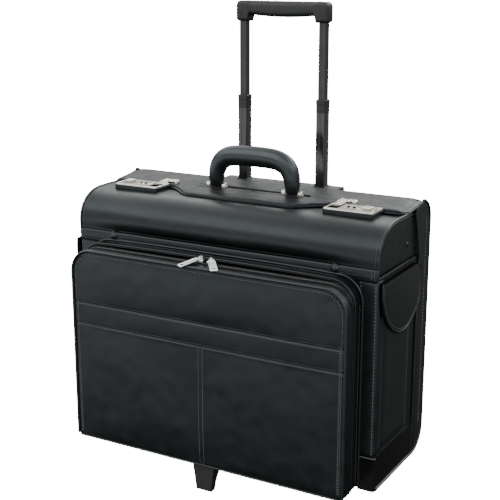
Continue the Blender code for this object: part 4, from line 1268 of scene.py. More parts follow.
# sliders and pulls
for label, root_x, turn in (("left", -0.0110, -32.0), ("right", 0.0060, 38.0)):
    x, y = root_x, -0.1139
    top = box(f"zip_slider_{label}_top", (x - 0.0051, y - 0.0042, 0.3358), (x + 0.0051, y + 0.0026, 0.3376), M_NICKEL_PAINTED_BRIGHT, 0.0008, 3)
    place(top, f"zip_slider_{label}")
    finish(f"zip_slider_{label}", M_NICKEL_PAINTED_BRIGHT, 0.0004, 2)
    finish(f"zip_pull_{label}", M_NICKEL_PAINTED_BRIGHT, 0.00022, 2)
    # a raised rim runs round the pull, and another round the hole near its tip
    fall = 0.270 * math.cos(math.radians(turn))
    run = 0.0340 / math.hypot(1.0, fall)
    root = Vector((x, -0.1140, 0.3400))
    tip = root + Vector((run * math.sin(math.radians(turn)), -run * math.cos(math.radians(turn)), -run * fall))
    along = (tip - root).normalized()
    across = along.cross(Vector((0, 0, 1))).normalized()
    up = across.cross(along)
    end = (tip - root).length
    edge = [(0.0046, -0.0036), (0.0095, -0.0046), (end - 0.0016, -0.0047), (end - 0.0005, -0.0036), (end - 0.0005, 0.0036), (end - 0.0016, 0.0047),
            (0.0095, 0.0046), (0.0046, 0.0036)]
    hole = [(end - 0.0072, -0.0030), (end - 0.0030, -0.0030), (end - 0.0030, 0.0030), (end - 0.0072, 0.0030)]
    parts = []
    for line, r in ((edge, 0.00062), (hole, 0.00045)):
        path = [root + along * a + across * d + up * 0.0005 for a, d in line]
        path = path + [path[0], path[1]]
        parts.append(sweep([p for p in spaced(path, 0.0008)], disc(r, 8), tuple(up)))
    v, f = merge(parts)
    place(build(f"zip_pull_{label}_rim", v, f, M_NICKEL_PAINTED_BRIGHT, 60), f"zip_pull_{label}")
    # the hole is a near-black plate: painted shade seen through the pull
    v, f = loft([[root + along * a + across * e + up * h for a, e in hole] for h in (-0.0003, 0.0006)])
    place(build(f"zip_pull_{label}_hole_painted_shade", v, f, M_PAINTED_SHADE, 40), f"zip_pull_{label}")


# ------------------------------------------------------------------ side pockets
FLAP_LINE = [(-0.0845, 0.3325), (-0.0855, 0.3185), (-0.0840, 0.3046), (-0.0743, 0.2841), (-0.0575, 0.2668), (-0.0391, 0.2557),
             (-0.0207, 0.2495), (0.0011, 0.2492), (0.0191, 0.2555), (0.0351, 0.2654), (0.0470, 0.2796), (0.0515, 0.2972),
             (0.0500, 0.3150), (0.0450, 0.3270), (0.0360, 0.3325)]
for label, s in SIDES:
    # patch pocket: a bulged sheet stitched to the side along three edges
    y0, y1, z0, z1 = -0.0755, 0.0248, 0.0892, 0.3300
    us, vs = steps(0, 1, 28), steps(0, 1, 60)

    def patch(u, v, s=s):
        y, z = y0 + (y1 - y0) * u, z0 + (z1 - z0) * v
        e = min(u, 1 - u) * (y1 - y0)
        low = v * (z1 - z0)
        rise = ease(e / 0.014) * ease(low / 0.018)
        x = 0.2414 + 0.0028 * rise
        x += (0.0007 * noise.noise(Vector((y * 16, z * 9, 6.0 + s))) * rise)
        r = 0.012
        dy, dz = abs(y - (y0 + y1) / 2) - ((y1 - y0) / 2 - r), (z0 + r) - z
        if dy > 0 and dz > 0 and math.hypot(dy, dz) > 1e-9:
            d = math.hypot(dy, dz)
            m = max(dy, dz)
            k = m / d
            y -= math.copysign(dy * (1 - k), y - (y0 + y1) / 2)
            z += dz * (1 - k)
        return Vector((s * x, y, z))

    verts, faces, tags = sheet(patch, us if s > 0 else us[::-1], vs, 0.0012)
    pocket = build(f"side_pocket_{label}_skin", verts, faces, [M_SIDE, M_LINING], 60, tags)
    place(pocket, "case", f"side_pocket_{label}")
    tree = bvh_of(pocket)
    trace = [(s * 0.25, y0 + 0.003, z1 - 0.002), (s * 0.25, y0 + 0.003, z0 + 0.012)] + \
            [(s * 0.25, p[0], p[1]) for p in arc2(y0 + 0.013, z0 + 0.013, 0.010, 180, 270, 6)] + \
            [(s * 0.25, p[0], p[1]) for p in arc2(y1 - 0.013, z0 + 0.013, 0.010, 270, 360, 6)] + [(s * 0.25, y1 - 0.003, z1 - 0.002)]
    sew("side_pockets", "case", trace, (s, 0, 0), tree=tree, direction=(-s, 0, 0), r=0.00022)
    cord(f"side_pocket_{label}_hem", [(s * (0.2414 + 0.0028 * ease(min(u, 1 - u) * 7.2) - 0.0004), y0 + (y1 - y0) * u, z1) for u in steps(0.01, 0.99, 24)],
         0.0011, M_PIPE, "case", (s, 0, 0))

    # flap: bound leaf that folds over the pocket's mouth
    leaf = flat2(FLAP_LINE, 5)
    # the leaf itself, filled from its outline by rings
    outline2 = leaf
    def leaf_at(a, b, h, s=s):
        return Vector((s * h, a, b))
    levels = [(0.0010, 0.2448), (0.0002, 0.2451), (0.0, 0.2456), (0.0006, 0.2463), (0.0014, 0.2466), (0.0028, 0.2466), (0.0045, 0.2468), (0.0060, 0.2470)]
    v, f = plate(outline2, levels, leaf_at)
    leaf_obj = place(build(f"side_flap_{label}_leaf", v, f, [M_SIDE], 60), f"side_flap_{label}", f"side_flap_{label}")
    tree = bvh_of(leaf_obj)
    # place the fold strip directly, its section is already in (x, z); it is coloured near-black as painted shade for
    # the dark band between the lid's end and the flap
    rings = []
    sec = ((0.2404, 0.3303), (0.2404, 0.3314), (0.2436, 0.3322), (0.2456, 0.3333), (0.2466, 0.3331), (0.2469, 0.3318), (0.2463, 0.3306), (0.2440, 0.3304))
    for y in steps(-0.0842, 0.0356, 16):
        rings.append([Vector((s * a, y, b)) for a, b in sec])
    v, f = loft(rings)
    place(build(f"side_flap_{label}_fold_painted_shade", v, f, M_PAINTED_SHADE, 60), f"side_flap_{label}")
    line = [(s * 0.2462, a, b) for a, b in leaf]
    cord(f"side_flap_{label}_binding", spaced(line, 0.0025), 0.0012, M_PIPE, f"side_flap_{label}", (s, 0, 0))
    sewn = [(s * 0.26, a, b) for a, b in inset(leaf, 0.0042)[2:-2]]
    sew(f"side_flap_{label}", f"side_flap_{label}", sewn, (s, 0, 0), tree=tree, direction=(-s, 0, 0), r=0.00036)


# ------------------------------------------------------------------ carrying handle
HX, HY, HZ = 0.0625, 0.0150, 0.4120


def handle_path():
    pts = [(0.0625, 0.4078), (0.0625, 0.4140), (0.0625, 0.4200), (0.0620, 0.4290), (0.0603, 0.4380), (0.0567, 0.4465), (0.0505, 0.4535), (0.0415, 0.4582),
           (0.0300, 0.4604), (0.0150, 0.4612), (0.0, 0.4614)]
    half = [(a, b) for a, b in pts]
    full = half + [(-a, b) for a, b in reversed(half[:-1])]
    line = catmull([(a, HY, b) for a, b in full], 4)
    return spaced(line, 0.0022)


HANDLE = handle_path()


def handle_section(share):
    p = HANDLE[min(len(HANDLE) - 1, max(0, round(share * (len(HANDLE) - 1))))]
    z = p.z
    # radii: across the arch (in its plane) and fore-and-aft
    a = lerp_at([(0.4078, 0.0080), (0.4130, 0.0092), (0.4190, 0.0109), (0.4300, 0.0116), (0.4450, 0.0130), (0.4580, 0.0145), (0.4630, 0.0150)], z)
    b = lerp_at([(0.4078, 0.0036), (0.4130, 0.0052), (0.4190, 0.0078), (0.4240, 0.0094), (0.4330, 0.0110), (0.4500, 0.0128), (0.4630, 0.0138)], z)
    out = []
    n = 36
    for k in range(n):
        w = 2 * math.pi * k / n
        # two welt ridges run along the upper front and the upper rear
        ridge = 0.0
        for at in (math.radians(48), math.radians(132)):
            d = (w - at + math.pi) % (2 * math.pi) - math.pi
            ridge += 0.0011 * math.exp(-(d / 0.085) ** 2)
            for off in (0.20, -0.20):
                ridge -= 0.0004 * math.exp(-((d - off) / 0.10) ** 2)
        ridge *= ease((z - 0.4160) / 0.010)
        out.append(((b + ridge) * math.cos(w), (a + ridge) * math.sin(w)))
    return out


rings = []
for i, (p, sd, up, t) in enumerate(frames(HANDLE, (1, 0, 0))):
    sec = handle_section(i / (len(HANDLE) - 1))
    dent = 0.0003 * noise.noise(Vector((p.x * 30, 1.0, p.z * 30)))
    outward = up
    rings.append([p + sd * c + outward * (d * (1 + dent * 10)) for c, d in sec])
v, f = loft(rings)
handle = build("handle_leather", v, f, M_GRIP, 70)
place(handle, "carry_handle", "handle_grip")
handle_tree = bvh_of(handle)
for sgn in (-1, 1):
    pts = []
    for i, (p, sd, up, t) in enumerate(frames(HANDLE, (1, 0, 0))):
        if p.z > 0.4230 and abs(sd.y) > 0.5:
            w = math.radians(63 if sgn > 0 else 117)
            sec = handle_section(i / (len(HANDLE) - 1))
            k = round(w / (2 * math.pi) * len(sec)) % len(sec)
            c, d = sec[k]
            n = (sd * c + up * d).normalized()
            pts.append((p + sd * c + up * d, n))
    for (a, n), (b, m) in zip(pts[::2], pts[1::2]):
        t = (b - a)
        if t.length < 1e-5:
            continue
        SEWN.setdefault(("handle", "carry_handle"), [])
        sew("handle", "carry_handle", [a, a + t.normalized() * 0.0036], n, r=0.00032, pitch=0.0036)
        # a single stitch needs both its ends
        parts = SEWN[("handle", "carry_handle")]

# brackets: a nickel foot with two rounded ears and a pin, either side of each leg
for label, s in SIDES:
    parts = []
    x = s * HX
    foot = box(f"bracket_foot_{label}", (x - 0.0160, HY - 0.0040, 0.4038), (x + 0.0160, HY + 0.0040, 0.4056), M_NICKEL, 0.0005, 2)
    place(foot, "front_lid", f"handle_bracket_{label}")
    for side, cx in (("in", x - 0.0131), ("out", x + 0.0131)):
        profile = [(-0.0038, 0.4045), (-0.0038, 0.4140)] + arc2(0.0, 0.4140, 0.0038, 180, 0, 10)[1:-1] + [(0.0038, 0.4140), (0.0038, 0.4045)]
        h = 0.0033
        levels = [(0.0009, -h), (0.0003, -h + 0.0004), (0.0, -h + 0.0010), (0.0, h - 0.0010), (0.0003, h - 0.0004), (0.0009, h)]
        v, f = plate(profile, levels, lambda a, b, q, cx=cx: Vector((cx + q, HY + a, b)))
        place(build(f"handle_post_{label}_{side}", v, f, M_NICKEL, 35), "front_lid")
    pin = [(0.0, -0.0176), (0.0016, -0.0174), (0.0022, -0.0168), (0.0022, -0.0164), (0.0016, -0.0162), (0.0016, 0.0162), (0.0022, 0.0164), (0.0022, 0.0168), (0.0016, 0.0174), (0.0, 0.0176)]
    v, f = turned(pin, (x, HY, HZ), (1, 0, 0), 16)
    place(build(f"handle_pin_{label}", v, f, M_NICKEL, 40), "front_lid")


# ------------------------------------------------------------------ locks
DY, DZ = -0.0180, 0.4087
FONT = None


def numeral(text, size, place_matrix, name):
    curve = bpy.data.curves.new(name, "FONT")
    curve.body = text
    curve.size = size
    curve.extrude = 0.00006
    curve.align_x, curve.align_y = "CENTER", "CENTER"
    curve.resolution_u = 2
    obj = link(bpy.data.objects.new(name, curve))
    bpy.context.view_layer.update()
    mesh = bpy.data.meshes.new_from_object(obj.evaluated_get(bpy.context.evaluated_depsgraph_get()))
    mesh.transform(place_matrix)
    verts = [v.co.copy() for v in mesh.vertices]
    faces = [tuple(p.vertices) for p in mesh.polygons]
    bpy.data.objects.remove(obj)
    bpy.data.curves.remove(curve)
    bpy.data.meshes.remove(mesh)
    return verts, faces


for label, s in SIDES:
    def bx(name, a, b, y0, y1, z0, z1, mat, r=0.0004, seg=2):
        return box(name, (min(s * a, s * b), y0, z0), (max(s * a, s * b), y1, z1), mat, r, seg)

    finish(f"lock_body_{label}", M_NICKEL_DARK, 0.00025, 2)
    # dark base under the nickel top
    ring = [(0.1350, -0.0376), (0.2090, -0.0376), (0.2090, 0.0002), (0.1350, 0.0002)]
    def round4(x0, x1, y0, y1, r):
        return arc2(x1 - r, y1 - r, r, 0, 90, 4) + arc2(x0 + r, y1 - r, r, 90, 180, 4) + arc2(x0 + r, y0 + r, r, 180, 270, 4) + arc2(x1 - r, y0 + r, r, 270, 360, 4)
    outer = round4(0.1348, 0.2092, -0.0377, -0.0001, 0.0016)
    inner = round4(0.1364, 0.2076, -0.0361, -0.0012, 0.0008)
    def wall(ring2d, z):
        return [Vector((s * a, b, z)) for a, b in ring2d]
    rings = [wall(outer, 0.4036), wall(outer, 0.4092), wall(inset(outer, 0.0006), 0.4098), wall(inner, 0.4098), wall(inner, 0.4036)]
    rings.append(rings[0])
    v, f = loft(rings, True, False)
    place(build(f"lock_base_{label}", v, f, M_BODY, 40), "front_lid")
    # raised rim round the nickel plate
    o2, i2 = round4(0.1358, 0.2082, -0.0368, -0.0006, 0.0014), round4(0.1372, 0.2068, -0.0354, -0.0020, 0.0009)
    rings = [wall(o2, 0.4096), wall(o2, 0.4114), wall(inset(o2, 0.0004), 0.4118), wall(inset(i2, -0.0003), 0.4118), wall(i2, 0.4115), wall(i2, 0.4110)]
    rings.append(wall(inset(o2, 0.0003), 0.4096))
    v, f = loft(rings + [rings[0]], True, False)
    place(build(f"lock_rim_{label}", v, f, M_NICKEL, 40), "front_lid")
    parts = []
    for cx in (0.1392, 0.2048):
        for cy in (-0.0332, -0.0042):
            parts.append(turned([(0.0, 0.0009), (0.0009, 0.0007), (0.0014, 0.0002), (0.0014, -0.0008)], (s * cx, cy, 0.4112), (0, 0, 1), 14))
    v, f = merge(parts)
    place(build(f"lock_pips_{label}", v, f, M_NICKEL, 50), "front_lid")
    # a pressed frame round the dials
    o3, i3 = round4(0.1578, 0.1812, -0.0248, -0.0112, 0.0012), round4(0.1588, 0.1802, -0.0238, -0.0122, 0.0008)
    rings = [wall(o3, 0.4108), wall(o3, 0.4117), wall(inset(o3, 0.0003), 0.4120), wall(i3, 0.4120), wall(i3, 0.4108)]
    v, f = loft(rings + [rings[0]], True, False)
    place(build(f"lock_dial_frame_{label}", v, f, M_NICKEL, 40), "front_lid")
    # painted shade: a dark plate in the well under the windows stands in for the shade inside the lock
    place(bx(f"lock_well_painted_shade_{label}", 0.1566, 0.1824, -0.0240, -0.0120, 0.40385, 0.4046, M_INK, 0.0002), "front_lid")
    # painted shade: dark plates for the floor of the dial window, the slide's track and the hasp's pocket
    place(bx(f"lock_dial_floor_shade_{label}", 0.1589, 0.1801, -0.0237, -0.0123, 0.4108, 0.41125, M_PAINTED_SHADE, 0.0001, 1), "front_lid")
    place(bx(f"lock_slide_track_shade_{label}", 0.1862, 0.2030, -0.0250, -0.0110, 0.4108, 0.41125, M_NICKEL_DARK, 0.0001, 1), "front_lid")
    place(bx(f"lock_hasp_pocket_shade_{label}", 0.1376, 0.1534, -0.0300, -0.0024, 0.4108, 0.41120, M_NICKEL_DARK, 0.0001, 1), "front_lid")
    # slide button with grip ribs
    finish(f"lock_slide_{label}", M_NICKEL, 0.0006, 3)
    parts = []
    for k in range(4):
        cx = 0.1893 + k * 0.0030
        parts.append(sweep([(s * cx, y, 0.4150) for y in steps(-0.0226, -0.0134, 6)], disc(0.00055, 8), (0, 0, 1)))
    v, f = merge(parts)
    place(build(f"lock_slide_ribs_{label}", v, f, M_NICKEL, 50), f"lock_slide_{label}")
    # dials: a knurled wheel with ten numerals
    for i in (1, 2, 3):
        cx = s * (0.1610 + 0.0085 * (i - 1))
        n = 40
        rows = []
        for h, r0, k0 in ((-0.0020, 0.0037, 0), (-0.0018, 0.0041, 0), (-0.0014, 0.0043, 0), (-0.0011, 0.0042, 0), (0.0011, 0.0042, 0), (0.0014, 0.0043, 0), (0.0018, 0.0041, 0), (0.0020, 0.0037, 0)):
            row = []
            for k in range(n):
                w = 2 * math.pi * k / n
                notch = 0.00022 if (k % 4 == 0 and abs(h) > 0.0012) else 0.0
                row.append(Vector((cx + h, DY + (r0 - notch) * math.cos(w), DZ + (r0 - notch) * math.sin(w))))
            rows.append(row)
        v, f = loft(rows)
        place(build(f"dial_{label}_{i}", v, f, M_NICKEL, 30), f"digit_{label}_{i}", f"digit_wheel_{label}_{i}")
        parts = []
        for d in range(10):
            w = 2 * math.pi * d / 10
            turn = Matrix.Rotation(w, 4, "X")
            m = Matrix.Translation((cx, DY, DZ)) @ turn @ Matrix.Translation((0, 0, 0.00423))
            parts.append(numeral(str(d), 0.0026, m, "numeral"))
        v, f = merge(parts)
        place(build(f"dial_numbers_{label}_{i}", v, f, M_INK, 30), f"digit_{label}_{i}")
    # hasp and its plate
    finish(f"hasp_{label}", M_NICKEL, 0.0003, 2)
    finish(f"hasp_plate_{label}", M_NICKEL, 0.0003, 2)
    HC = 0.1455
    lip = sweep([(s * x, -0.0172, 0.4132) for x in steps(HC - 0.0064, HC + 0.0064, 8)], [(0.0011 * math.cos(q), 0.0011 * math.sin(q)) for q in [2 * math.pi * k / 10 for k in range(10)]], (0, 0, 1))
    place(build(f"hasp_lip_{label}", lip[0], lip[1], M_NICKEL, 50), f"hasp_{label}")
    dome = turned([(0.0, 0.0014), (0.0016, 0.0012), (0.0030, 0.0006), (0.0036, 0.0), (0.0036, -0.0004)], (s * HC, -0.0090, 0.4132), (0, 0, 1), 24)
    place(build(f"hasp_boss_{label}", dome[0], dome[1], M_NICKEL, 50), f"hasp_{label}")
    parts = []
    for k in range(5):
        y = 0.0092 + k * 0.0023
        parts.append(sweep([(s * x, y, 0.4134) for x in steps(HC - 0.0080, HC + 0.0080, 8)], [(0.00055 * math.cos(q), 0.00045 * math.sin(q)) for q in [2 * math.pi * m / 8 for m in range(8)]], (0, 0, 1)))
    v, f = merge(parts)
    place(build(f"hasp_plate_ribs_{label}", v, f, M_NICKEL, 50), "rear_lid")
    parts = []
    for dx in (-0.0072, 0.0072):
        parts.append(turned([(0.0, 0.0010), (0.0009, 0.0008), (0.0014, 0.0001), (0.0014, -0.0006)], (s * HC + dx, 0.0190, 0.4136), (0, 0, 1), 14))
    v, f = merge(parts)
    place(build(f"hasp_plate_rivets_{label}", v, f, M_NICKEL, 50), "rear_lid")
    # key barrel boss beside the hasp plate
    kx = s * HC + 0.0165
    knob = turned([(0.0, 0.0036), (0.0012, 0.0036), (0.0020, 0.0033), (0.0036, 0.0030), (0.0044, 0.0022), (0.0048, 0.0008), (0.0048, -0.0020)], (kx, 0.0085, 0.4128), (0, 0, 1), 28)
    place(build(f"flap_boss_{label}", knob[0], knob[1], M_NICKEL, 45), "rear_lid")


# ------------------------------------------------------------------ trolley
def rounded(hx, hy, r, groove=0.0):
    """Round-cornered section, counter-clockwise, with shallow grooves in front and back."""
    out = []
    for cx, cy, a in ((hx - r, hy - r, 0), (-(hx - r), hy - r, 90), (-(hx - r), -(hy - r), 180), (hx - r, -(hy - r), 270)):
        out += arc2(cx, cy, r, a, a + 90, 4)
        if groove and a in (0, 180):
            sign = 1 if a == 0 else -1
            for k in (0.0016, 0.0010, -0.0010, -0.0016):
                depth = groove if abs(k) < 0.0012 else 0.0
                out.append((sign * k, sign * (hy - depth)))
    return out


def profile_tube(name, x, hx, hy, wall, z0, z1, mat, body, stands_for=(), r=0.0014, groove=0.0, flare=0.0):
    o = rounded(hx, hy, r, groove)
    i = rounded(hx - wall, hy - wall, max(0.0004, r - wall * 0.6))
    if groove:
        i = inset(o, wall)
    rings = []
    for z, d in ((z0, 0.0004), (z0 + 0.0005, 0.0)):
        rings.append([Vector((x + a, TUBE_Y + b, z)) for a, b in inset(o, d)])
    if flare:
        for z, d in ((z1 - 0.0046, 0.0), (z1 - 0.0038, -flare), (z1 - 0.0010, -flare)):
            rings.append([Vector((x + a, TUBE_Y + b, z)) for a, b in inset(o, d)])
    for z, d in ((z1 - 0.0005, -flare), (z1, 0.0004 - flare)):
        rings.append([Vector((x + a, TUBE_Y + b, z)) for a, b in inset(o, d)])
    rings.append([Vector((x + a, TUBE_Y + b, z1)) for a, b in i])
    rings.append([Vector((x + a, TUBE_Y + b, z0)) for a, b in i])
    rings.append(rings[0])
    v, f = loft(rings, True, False)
    return place(build(name, v, f, mat, 32), body, stands_for)


for label, s in SIDES:
    x = s * TUBE_X
    profile_tube(f"trolley_outer_{label}", x, 0.0085, 0.0095, 0.0010, 0.0620, 0.4028, M_TUBE, "case", f"outer_tube_{label}")
    profile_tube(f"trolley_mid_{label}", x, 0.0073, 0.0083, 0.0008, 0.2000, 0.5372, M_MID, "trolley_mid", f"mid_tube_{label}", groove=0.0004)
    # the collar's skirt is slim enough to follow the tube down into the stage below
    profile_tube(f"trolley_skirt_{label}", x, 0.00745, 0.00845, 0.0006, 0.5180, 0.5306, M_COLLAR, "trolley_mid", r=0.0014)
    profile_tube(f"trolley_collar_{label}", x, 0.0080, 0.0090, 0.0018, 0.5305, 0.5374, M_COLLAR, "trolley_mid", r=0.0024)
    profile_tube(f"trolley_inner_{label}", x, 0.0060, 0.0060, 0.0009, 0.3300, 0.6500, M_TUBE, "trolley_inner", f"inner_tube_{label}", groove=0.0003)
    # spring detent on the tube's inner side under the collar
    v, f = turned([(0.0, 0.0012), (0.0012, 0.0010), (0.0021, 0.0003), (0.0022, -0.0010)], (x + 0.0071, TUBE_Y, 0.5080), (1, 0, 0), 16)
    place(build(f"trolley_detent_{label}", v, f, M_RIVET, 50), "trolley_mid")

# grip: soft-edged bar between two square blocks
g0, g1 = 0.6465, 0.6765


def grip_low(x):
    a = abs(x)
    if a > 0.0560:
        return g0
    if a > 0.0530:
        return g0 + (0.6560 - g0) * (1 - ease((a - 0.0530) / 0.0030))
    return 0.6532 + 0.0028 * (a / 0.0530) ** 2


grip_xs = steps(-0.0756, -0.0700, 6) + steps(-0.0700, -0.0580, 5)[1:] + steps(-0.0580, -0.0520, 8)[1:] + steps(-0.0520, 0.0520, 28)[1:] + \
    steps(0.0520, 0.0580, 8)[1:] + steps(0.0580, 0.0700, 5)[1:] + steps(0.0700, 0.0756, 6)[1:]
rings = []
for x in grip_xs:
    a = abs(x)
    shrink = 0.0
    if a > 0.0690:
        t = (a - 0.0690) / 0.0066
        shrink = 0.0060 * (1 - math.sqrt(max(0.0, 1 - t * t)))
    top, low = g1 - shrink * 1.2, grip_low(x) + shrink * 0.45
    block = ease((a - 0.0520) / 0.0050)
    hy = 0.0104 + 0.0008 * block - shrink * 0.8
    mid_y = TUBE_Y + 0.0000
    h = (top - low) / 2
    cz = (top + low) / 2
    power = 2.6 + 2.6 * block
    ring = []
    for k in range(40):
        w = 2 * math.pi * k / 40
        c, d = math.cos(w), math.sin(w)
        ring.append(Vector((x, mid_y + math.copysign(abs(c) ** (2 / power), c) * hy, cz + math.copysign(abs(d) ** (2 / (power + 0.8)), d) * h)))
    rings.append(ring)
v, f = loft(rings)
grip = place(build("trolley_grip_bar", v, f, M_PLASTIC, 60), "trolley_inner", "trolley_grip")
# screw in the left block, moulded dimple in the right one
v1, f1 = ring_turned([(0.0017, 0.0), (0.0017, 0.0007), (0.0024, 0.0009), (0.0030, 0.0003), (0.0030, -0.0010), (0.0017, -0.0010)], (-0.0654, TUBE_Y - 0.0110, 0.6590), (0, -1, 0), 24)
v2, f2 = turned([(0.0, 0.0001), (0.0016, 0.0001), (0.0016, -0.0012)], (-0.0654, TUBE_Y - 0.0110, 0.6590), (0, -1, 0), 20)
place(build("grip_screw_seat", v1, f1, M_PLASTIC, 40), "trolley_inner")
place(build("grip_screw", v2, f2, M_RIVET, 40), "trolley_inner")
v1, f1 = ring_turned([(0.0013, 0.0001), (0.0015, 0.0005), (0.0020, 0.0002), (0.0020, -0.0008), (0.0013, -0.0008)], (0.0654, TUBE_Y - 0.0109, 0.6590), (0, -1, 0), 24)
place(build("grip_dimple", v1, f1, M_PLASTIC, 40), "trolley_inner")

# frame at the mouth of the trolley, and the channel cover on the back
finish("trolley_bezel", M_PLASTIC, 0.0012, 3)
finish("trolley_cover", M_PLASTIC, 0.0016, 3)
parts = []
for k in range(7):
    z = 0.110 + k * 0.040
    parts.append(sweep([(x, 0.1155, z) for x in steps(-0.0820, 0.0820, 24)], [(0.0010 * math.cos(q), 0.0014 * math.sin(q)) for q in [2 * math.pi * m / 10 for m in range(10)]], (0, 0, 1)))
v, f = merge(parts)
place(build("trolley_cover_ribs", v, f, M_PLASTIC, 50), "case")
parts = []
for x in (-0.0900, 0.0900):
    for z in (0.0750, 0.2300, 0.3900):
        parts.append(turned([(0.0, 0.0010), (0.0012, 0.0012), (0.0026, 0.0009), (0.0032, 0.0), (0.0032, -0.0006)], (x, 0.1155, z), (0, 1, 0), 20))
v, f = merge(parts)
place(build("trolley_cover_screws", v, f, M_RIVET, 40), "case")
for label, s in SIDES:
    cx = s * TUBE_X
    o = [Vector((cx + a, TUBE_Y + b, 0.4088)) for a, b in rounded(0.0098, 0.0106, 0.0022)]
    ring0 = rounded(0.0098, 0.0106, 0.0022)
    hole = rounded(0.0078, 0.0088, 0.0014)
    rings = [[Vector((cx + a, TUBE_Y + b, z)) for a, b in src] for src, z in
             ((ring0, 0.4086), (ring0, 0.4098), (inset(ring0, 0.0004), 0.4101), (inset(hole, -0.0003), 0.4101), (hole, 0.4098), (hole, 0.4086))]
    v, f = loft(rings + [rings[0]], True, False)
    place(build(f"bezel_lip_{label}", v, f, M_COLLAR, 40), "case")

# ------------------------------------------------------------------ wheels and foot
for label, s in SIDES:
    x = s * 0.1940
    finish(f"wheel_housing_{label}", M_PLASTIC, 0.0012, 3)
    finish(f"wheel_axle_{label}", M_STEEL, 0.0004, 2)
    tyre = [(0.0205, -0.0104), (0.0240, -0.0110), (0.0262, -0.0104), (0.0272, -0.0086), (0.0275, -0.0060), (0.0275, -0.0022), (0.0269, -0.0017),
            (0.0269, 0.0017), (0.0275, 0.0022), (0.0275, 0.0060), (0.0272, 0.0086), (0.0262, 0.0104), (0.0240, 0.0110), (0.0205, 0.0104)]
    v, f = ring_turned(tyre, (x, 0.0880, 0.0275), (1, 0, 0), 64)
    place(build(f"tyre_{label}", v, f, M_RUBBER, 35), f"wheel_{label}", f"wheel_{label}")
    hub = [(0.0033, -0.0112), (0.0062, -0.0112), (0.0068, -0.0104), (0.0068, -0.0060), (0.0180, -0.0060), (0.0186, -0.0098), (0.0207, -0.0101),
           (0.0207, 0.0101), (0.0186, 0.0098), (0.0180, 0.0060), (0.0068, 0.0060), (0.0068, 0.0104), (0.0062, 0.0112), (0.0033, 0.0112)]
    v1, f1 = ring_turned(hub, (x, 0.0880, 0.0275), (1, 0, 0), 48)
    parts = [(v1, f1)]
    for k in range(6):
        w = 2 * math.pi * k / 6
        d = Vector((0, math.cos(w), math.sin(w)))
        t = Vector((0, -math.sin(w), math.cos(w)))
        for side in (-1, 1):
            ring = []
            for r in (0.0064, 0.0188):
                c = Vector((x + side * 0.0055, 0.0880, 0.0275)) + d * r
                h = Vector((side * 0.0040, 0, 0))
                g = 0.0013
                ring.append([c + t * g, c - t * g, c - t * g * 0.7 + h, c + t * g * 0.7 + h])
            parts.append(loft(ring))
    v, f = merge(parts)
    place(build(f"wheel_hub_{label}", v, f, M_HUB, 35), f"wheel_{label}")
    cap = turned([(0.0, 0.0014), (0.0024, 0.0012), (0.0042, 0.0004), (0.0044, -0.0006)], (x + s * 0.0178, 0.0880, 0.0275), (s, 0, 0), 20)
    place(build(f"axle_cap_{label}", cap[0], cap[1], M_STEEL, 50), "case")

finish("front_foot", M_PLASTIC, 0.0014, 3)

finish_sewing()

# ------------------------------------------------------------------ stage
mat, tree, bsdf = shader("studio_floor")
where = space(tree)
tone = cloud(tree, where, 3.0, 2.0)
wire(tree, ramp(tree, tone, [(0.3, (0.93, 0.93, 0.93)), (0.7, (0.95, 0.95, 0.95))]), bsdf.inputs["Base Color"])
bsdf.inputs["Roughness"].default_value = 0.9
bsdf.inputs["Specular IOR Level"].default_value = 0.1
bsdf.inputs["Emission Color"].default_value = (1.0, 1.0, 1.0, 1.0)
bsdf.inputs["Emission Strength"].default_value = 16.0
floor = build("studio_floor", [(-40, -40, 0), (40, -40, 0), (40, 60, 0), (-40, 60, 0)], [(0, 1, 2, 3)], mat, shift=False)
floor.visible_diffuse = False
floor.visible_glossy = False
floor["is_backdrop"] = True

world = bpy.data.worlds.new("studio")
bpy.context.scene.world = world
world.use_nodes = True
tree = world.node_tree
sky = tree.nodes["Background"]
co = add(tree, "ShaderNodeTexCoord")
parts = add(tree, "ShaderNodeSeparateXYZ")
wire(tree, co.outputs["Generated"], parts.inputs[0])
height = spread(tree, parts.outputs["Z"], 0.0, 1.0, -1.0, 1.0)
facing = add(tree, "ShaderNodeVectorMath", operation="DOT_PRODUCT")
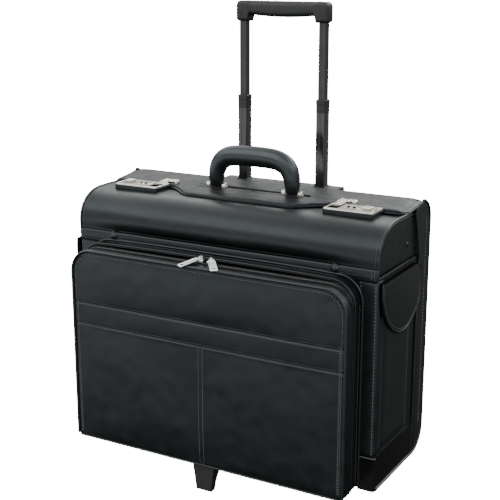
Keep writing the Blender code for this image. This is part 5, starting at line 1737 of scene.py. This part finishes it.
wire(tree, co.outputs["Generated"], facing.inputs[0])
facing.inputs[1].default_value = (-0.50, -0.85, 0.0)
side = spread(tree, facing.outputs["Value"], 0.14, 1.0, -0.9, 0.9)


def grey(stops):
    return ramp(tree, height, [(at, (k, k, k)) for at, k in stops])


low_band = grey([(0.0, 0.04), (0.26, 0.03), (0.305, 0.07), (0.345, 0.50), (0.40, 1.45), (0.47, 0.90), (0.54, 0.40), (0.60, 0.0)])
high_band = grey([(0.50, 0.0), (0.57, 0.22), (0.64, 0.26), (0.73, 2.10), (0.82, 1.00), (1.0, 0.55)])
scale = add(tree, "ShaderNodeVectorMath", operation="SCALE")
wire(tree, low_band, scale.inputs[0])
wire(tree, side, scale.inputs["Scale"])
total = add(tree, "ShaderNodeVectorMath", operation="ADD")
wire(tree, scale.outputs["Vector"], total.inputs[0])
wire(tree, high_band, total.inputs[1])
wire(tree, total.outputs["Vector"], sky.inputs["Color"])
sky.inputs["Strength"].default_value = 2.2


def softbox(name, where, towards, size, power, tint=(1, 1, 1)):
    data = bpy.data.lights.new(name, "AREA")
    data.shape = "RECTANGLE"
    data.size, data.size_y = size
    data.energy = power
    data.color = tint
    obj = link(bpy.data.objects.new(name, data))
    obj.location = where
    obj.rotation_euler = (Vector(towards) - Vector(where)).to_track_quat("-Z", "Y").to_euler()
    return obj


softbox("key", (-1.1, -1.7, 2.5), (0.0, 0.0, 0.36), (2.4, 1.6), 24.0)
softbox("fill", (2.0, -1.5, 1.3), (0.0, 0.0, 0.30), (0.8, 1.2), 9.0)
softbox("rim", (0.6, 1.6, 1.9), (0.0, 0.0, 0.40), (2.0, 1.0), 30.0)

data = bpy.data.cameras.new("camera")
data.sensor_width = 36.0
data.lens = 77.216
data.clip_start, data.clip_end = 0.05, 200.0
camera = link(bpy.data.objects.new("camera", data))
camera.location = (0.7442, -1.2969, 0.7264)
camera.rotation_euler = (math.radians(90 - 14.8683), 0.0, math.radians(29.4978))
bpy.context.scene.camera = camera

low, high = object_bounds()
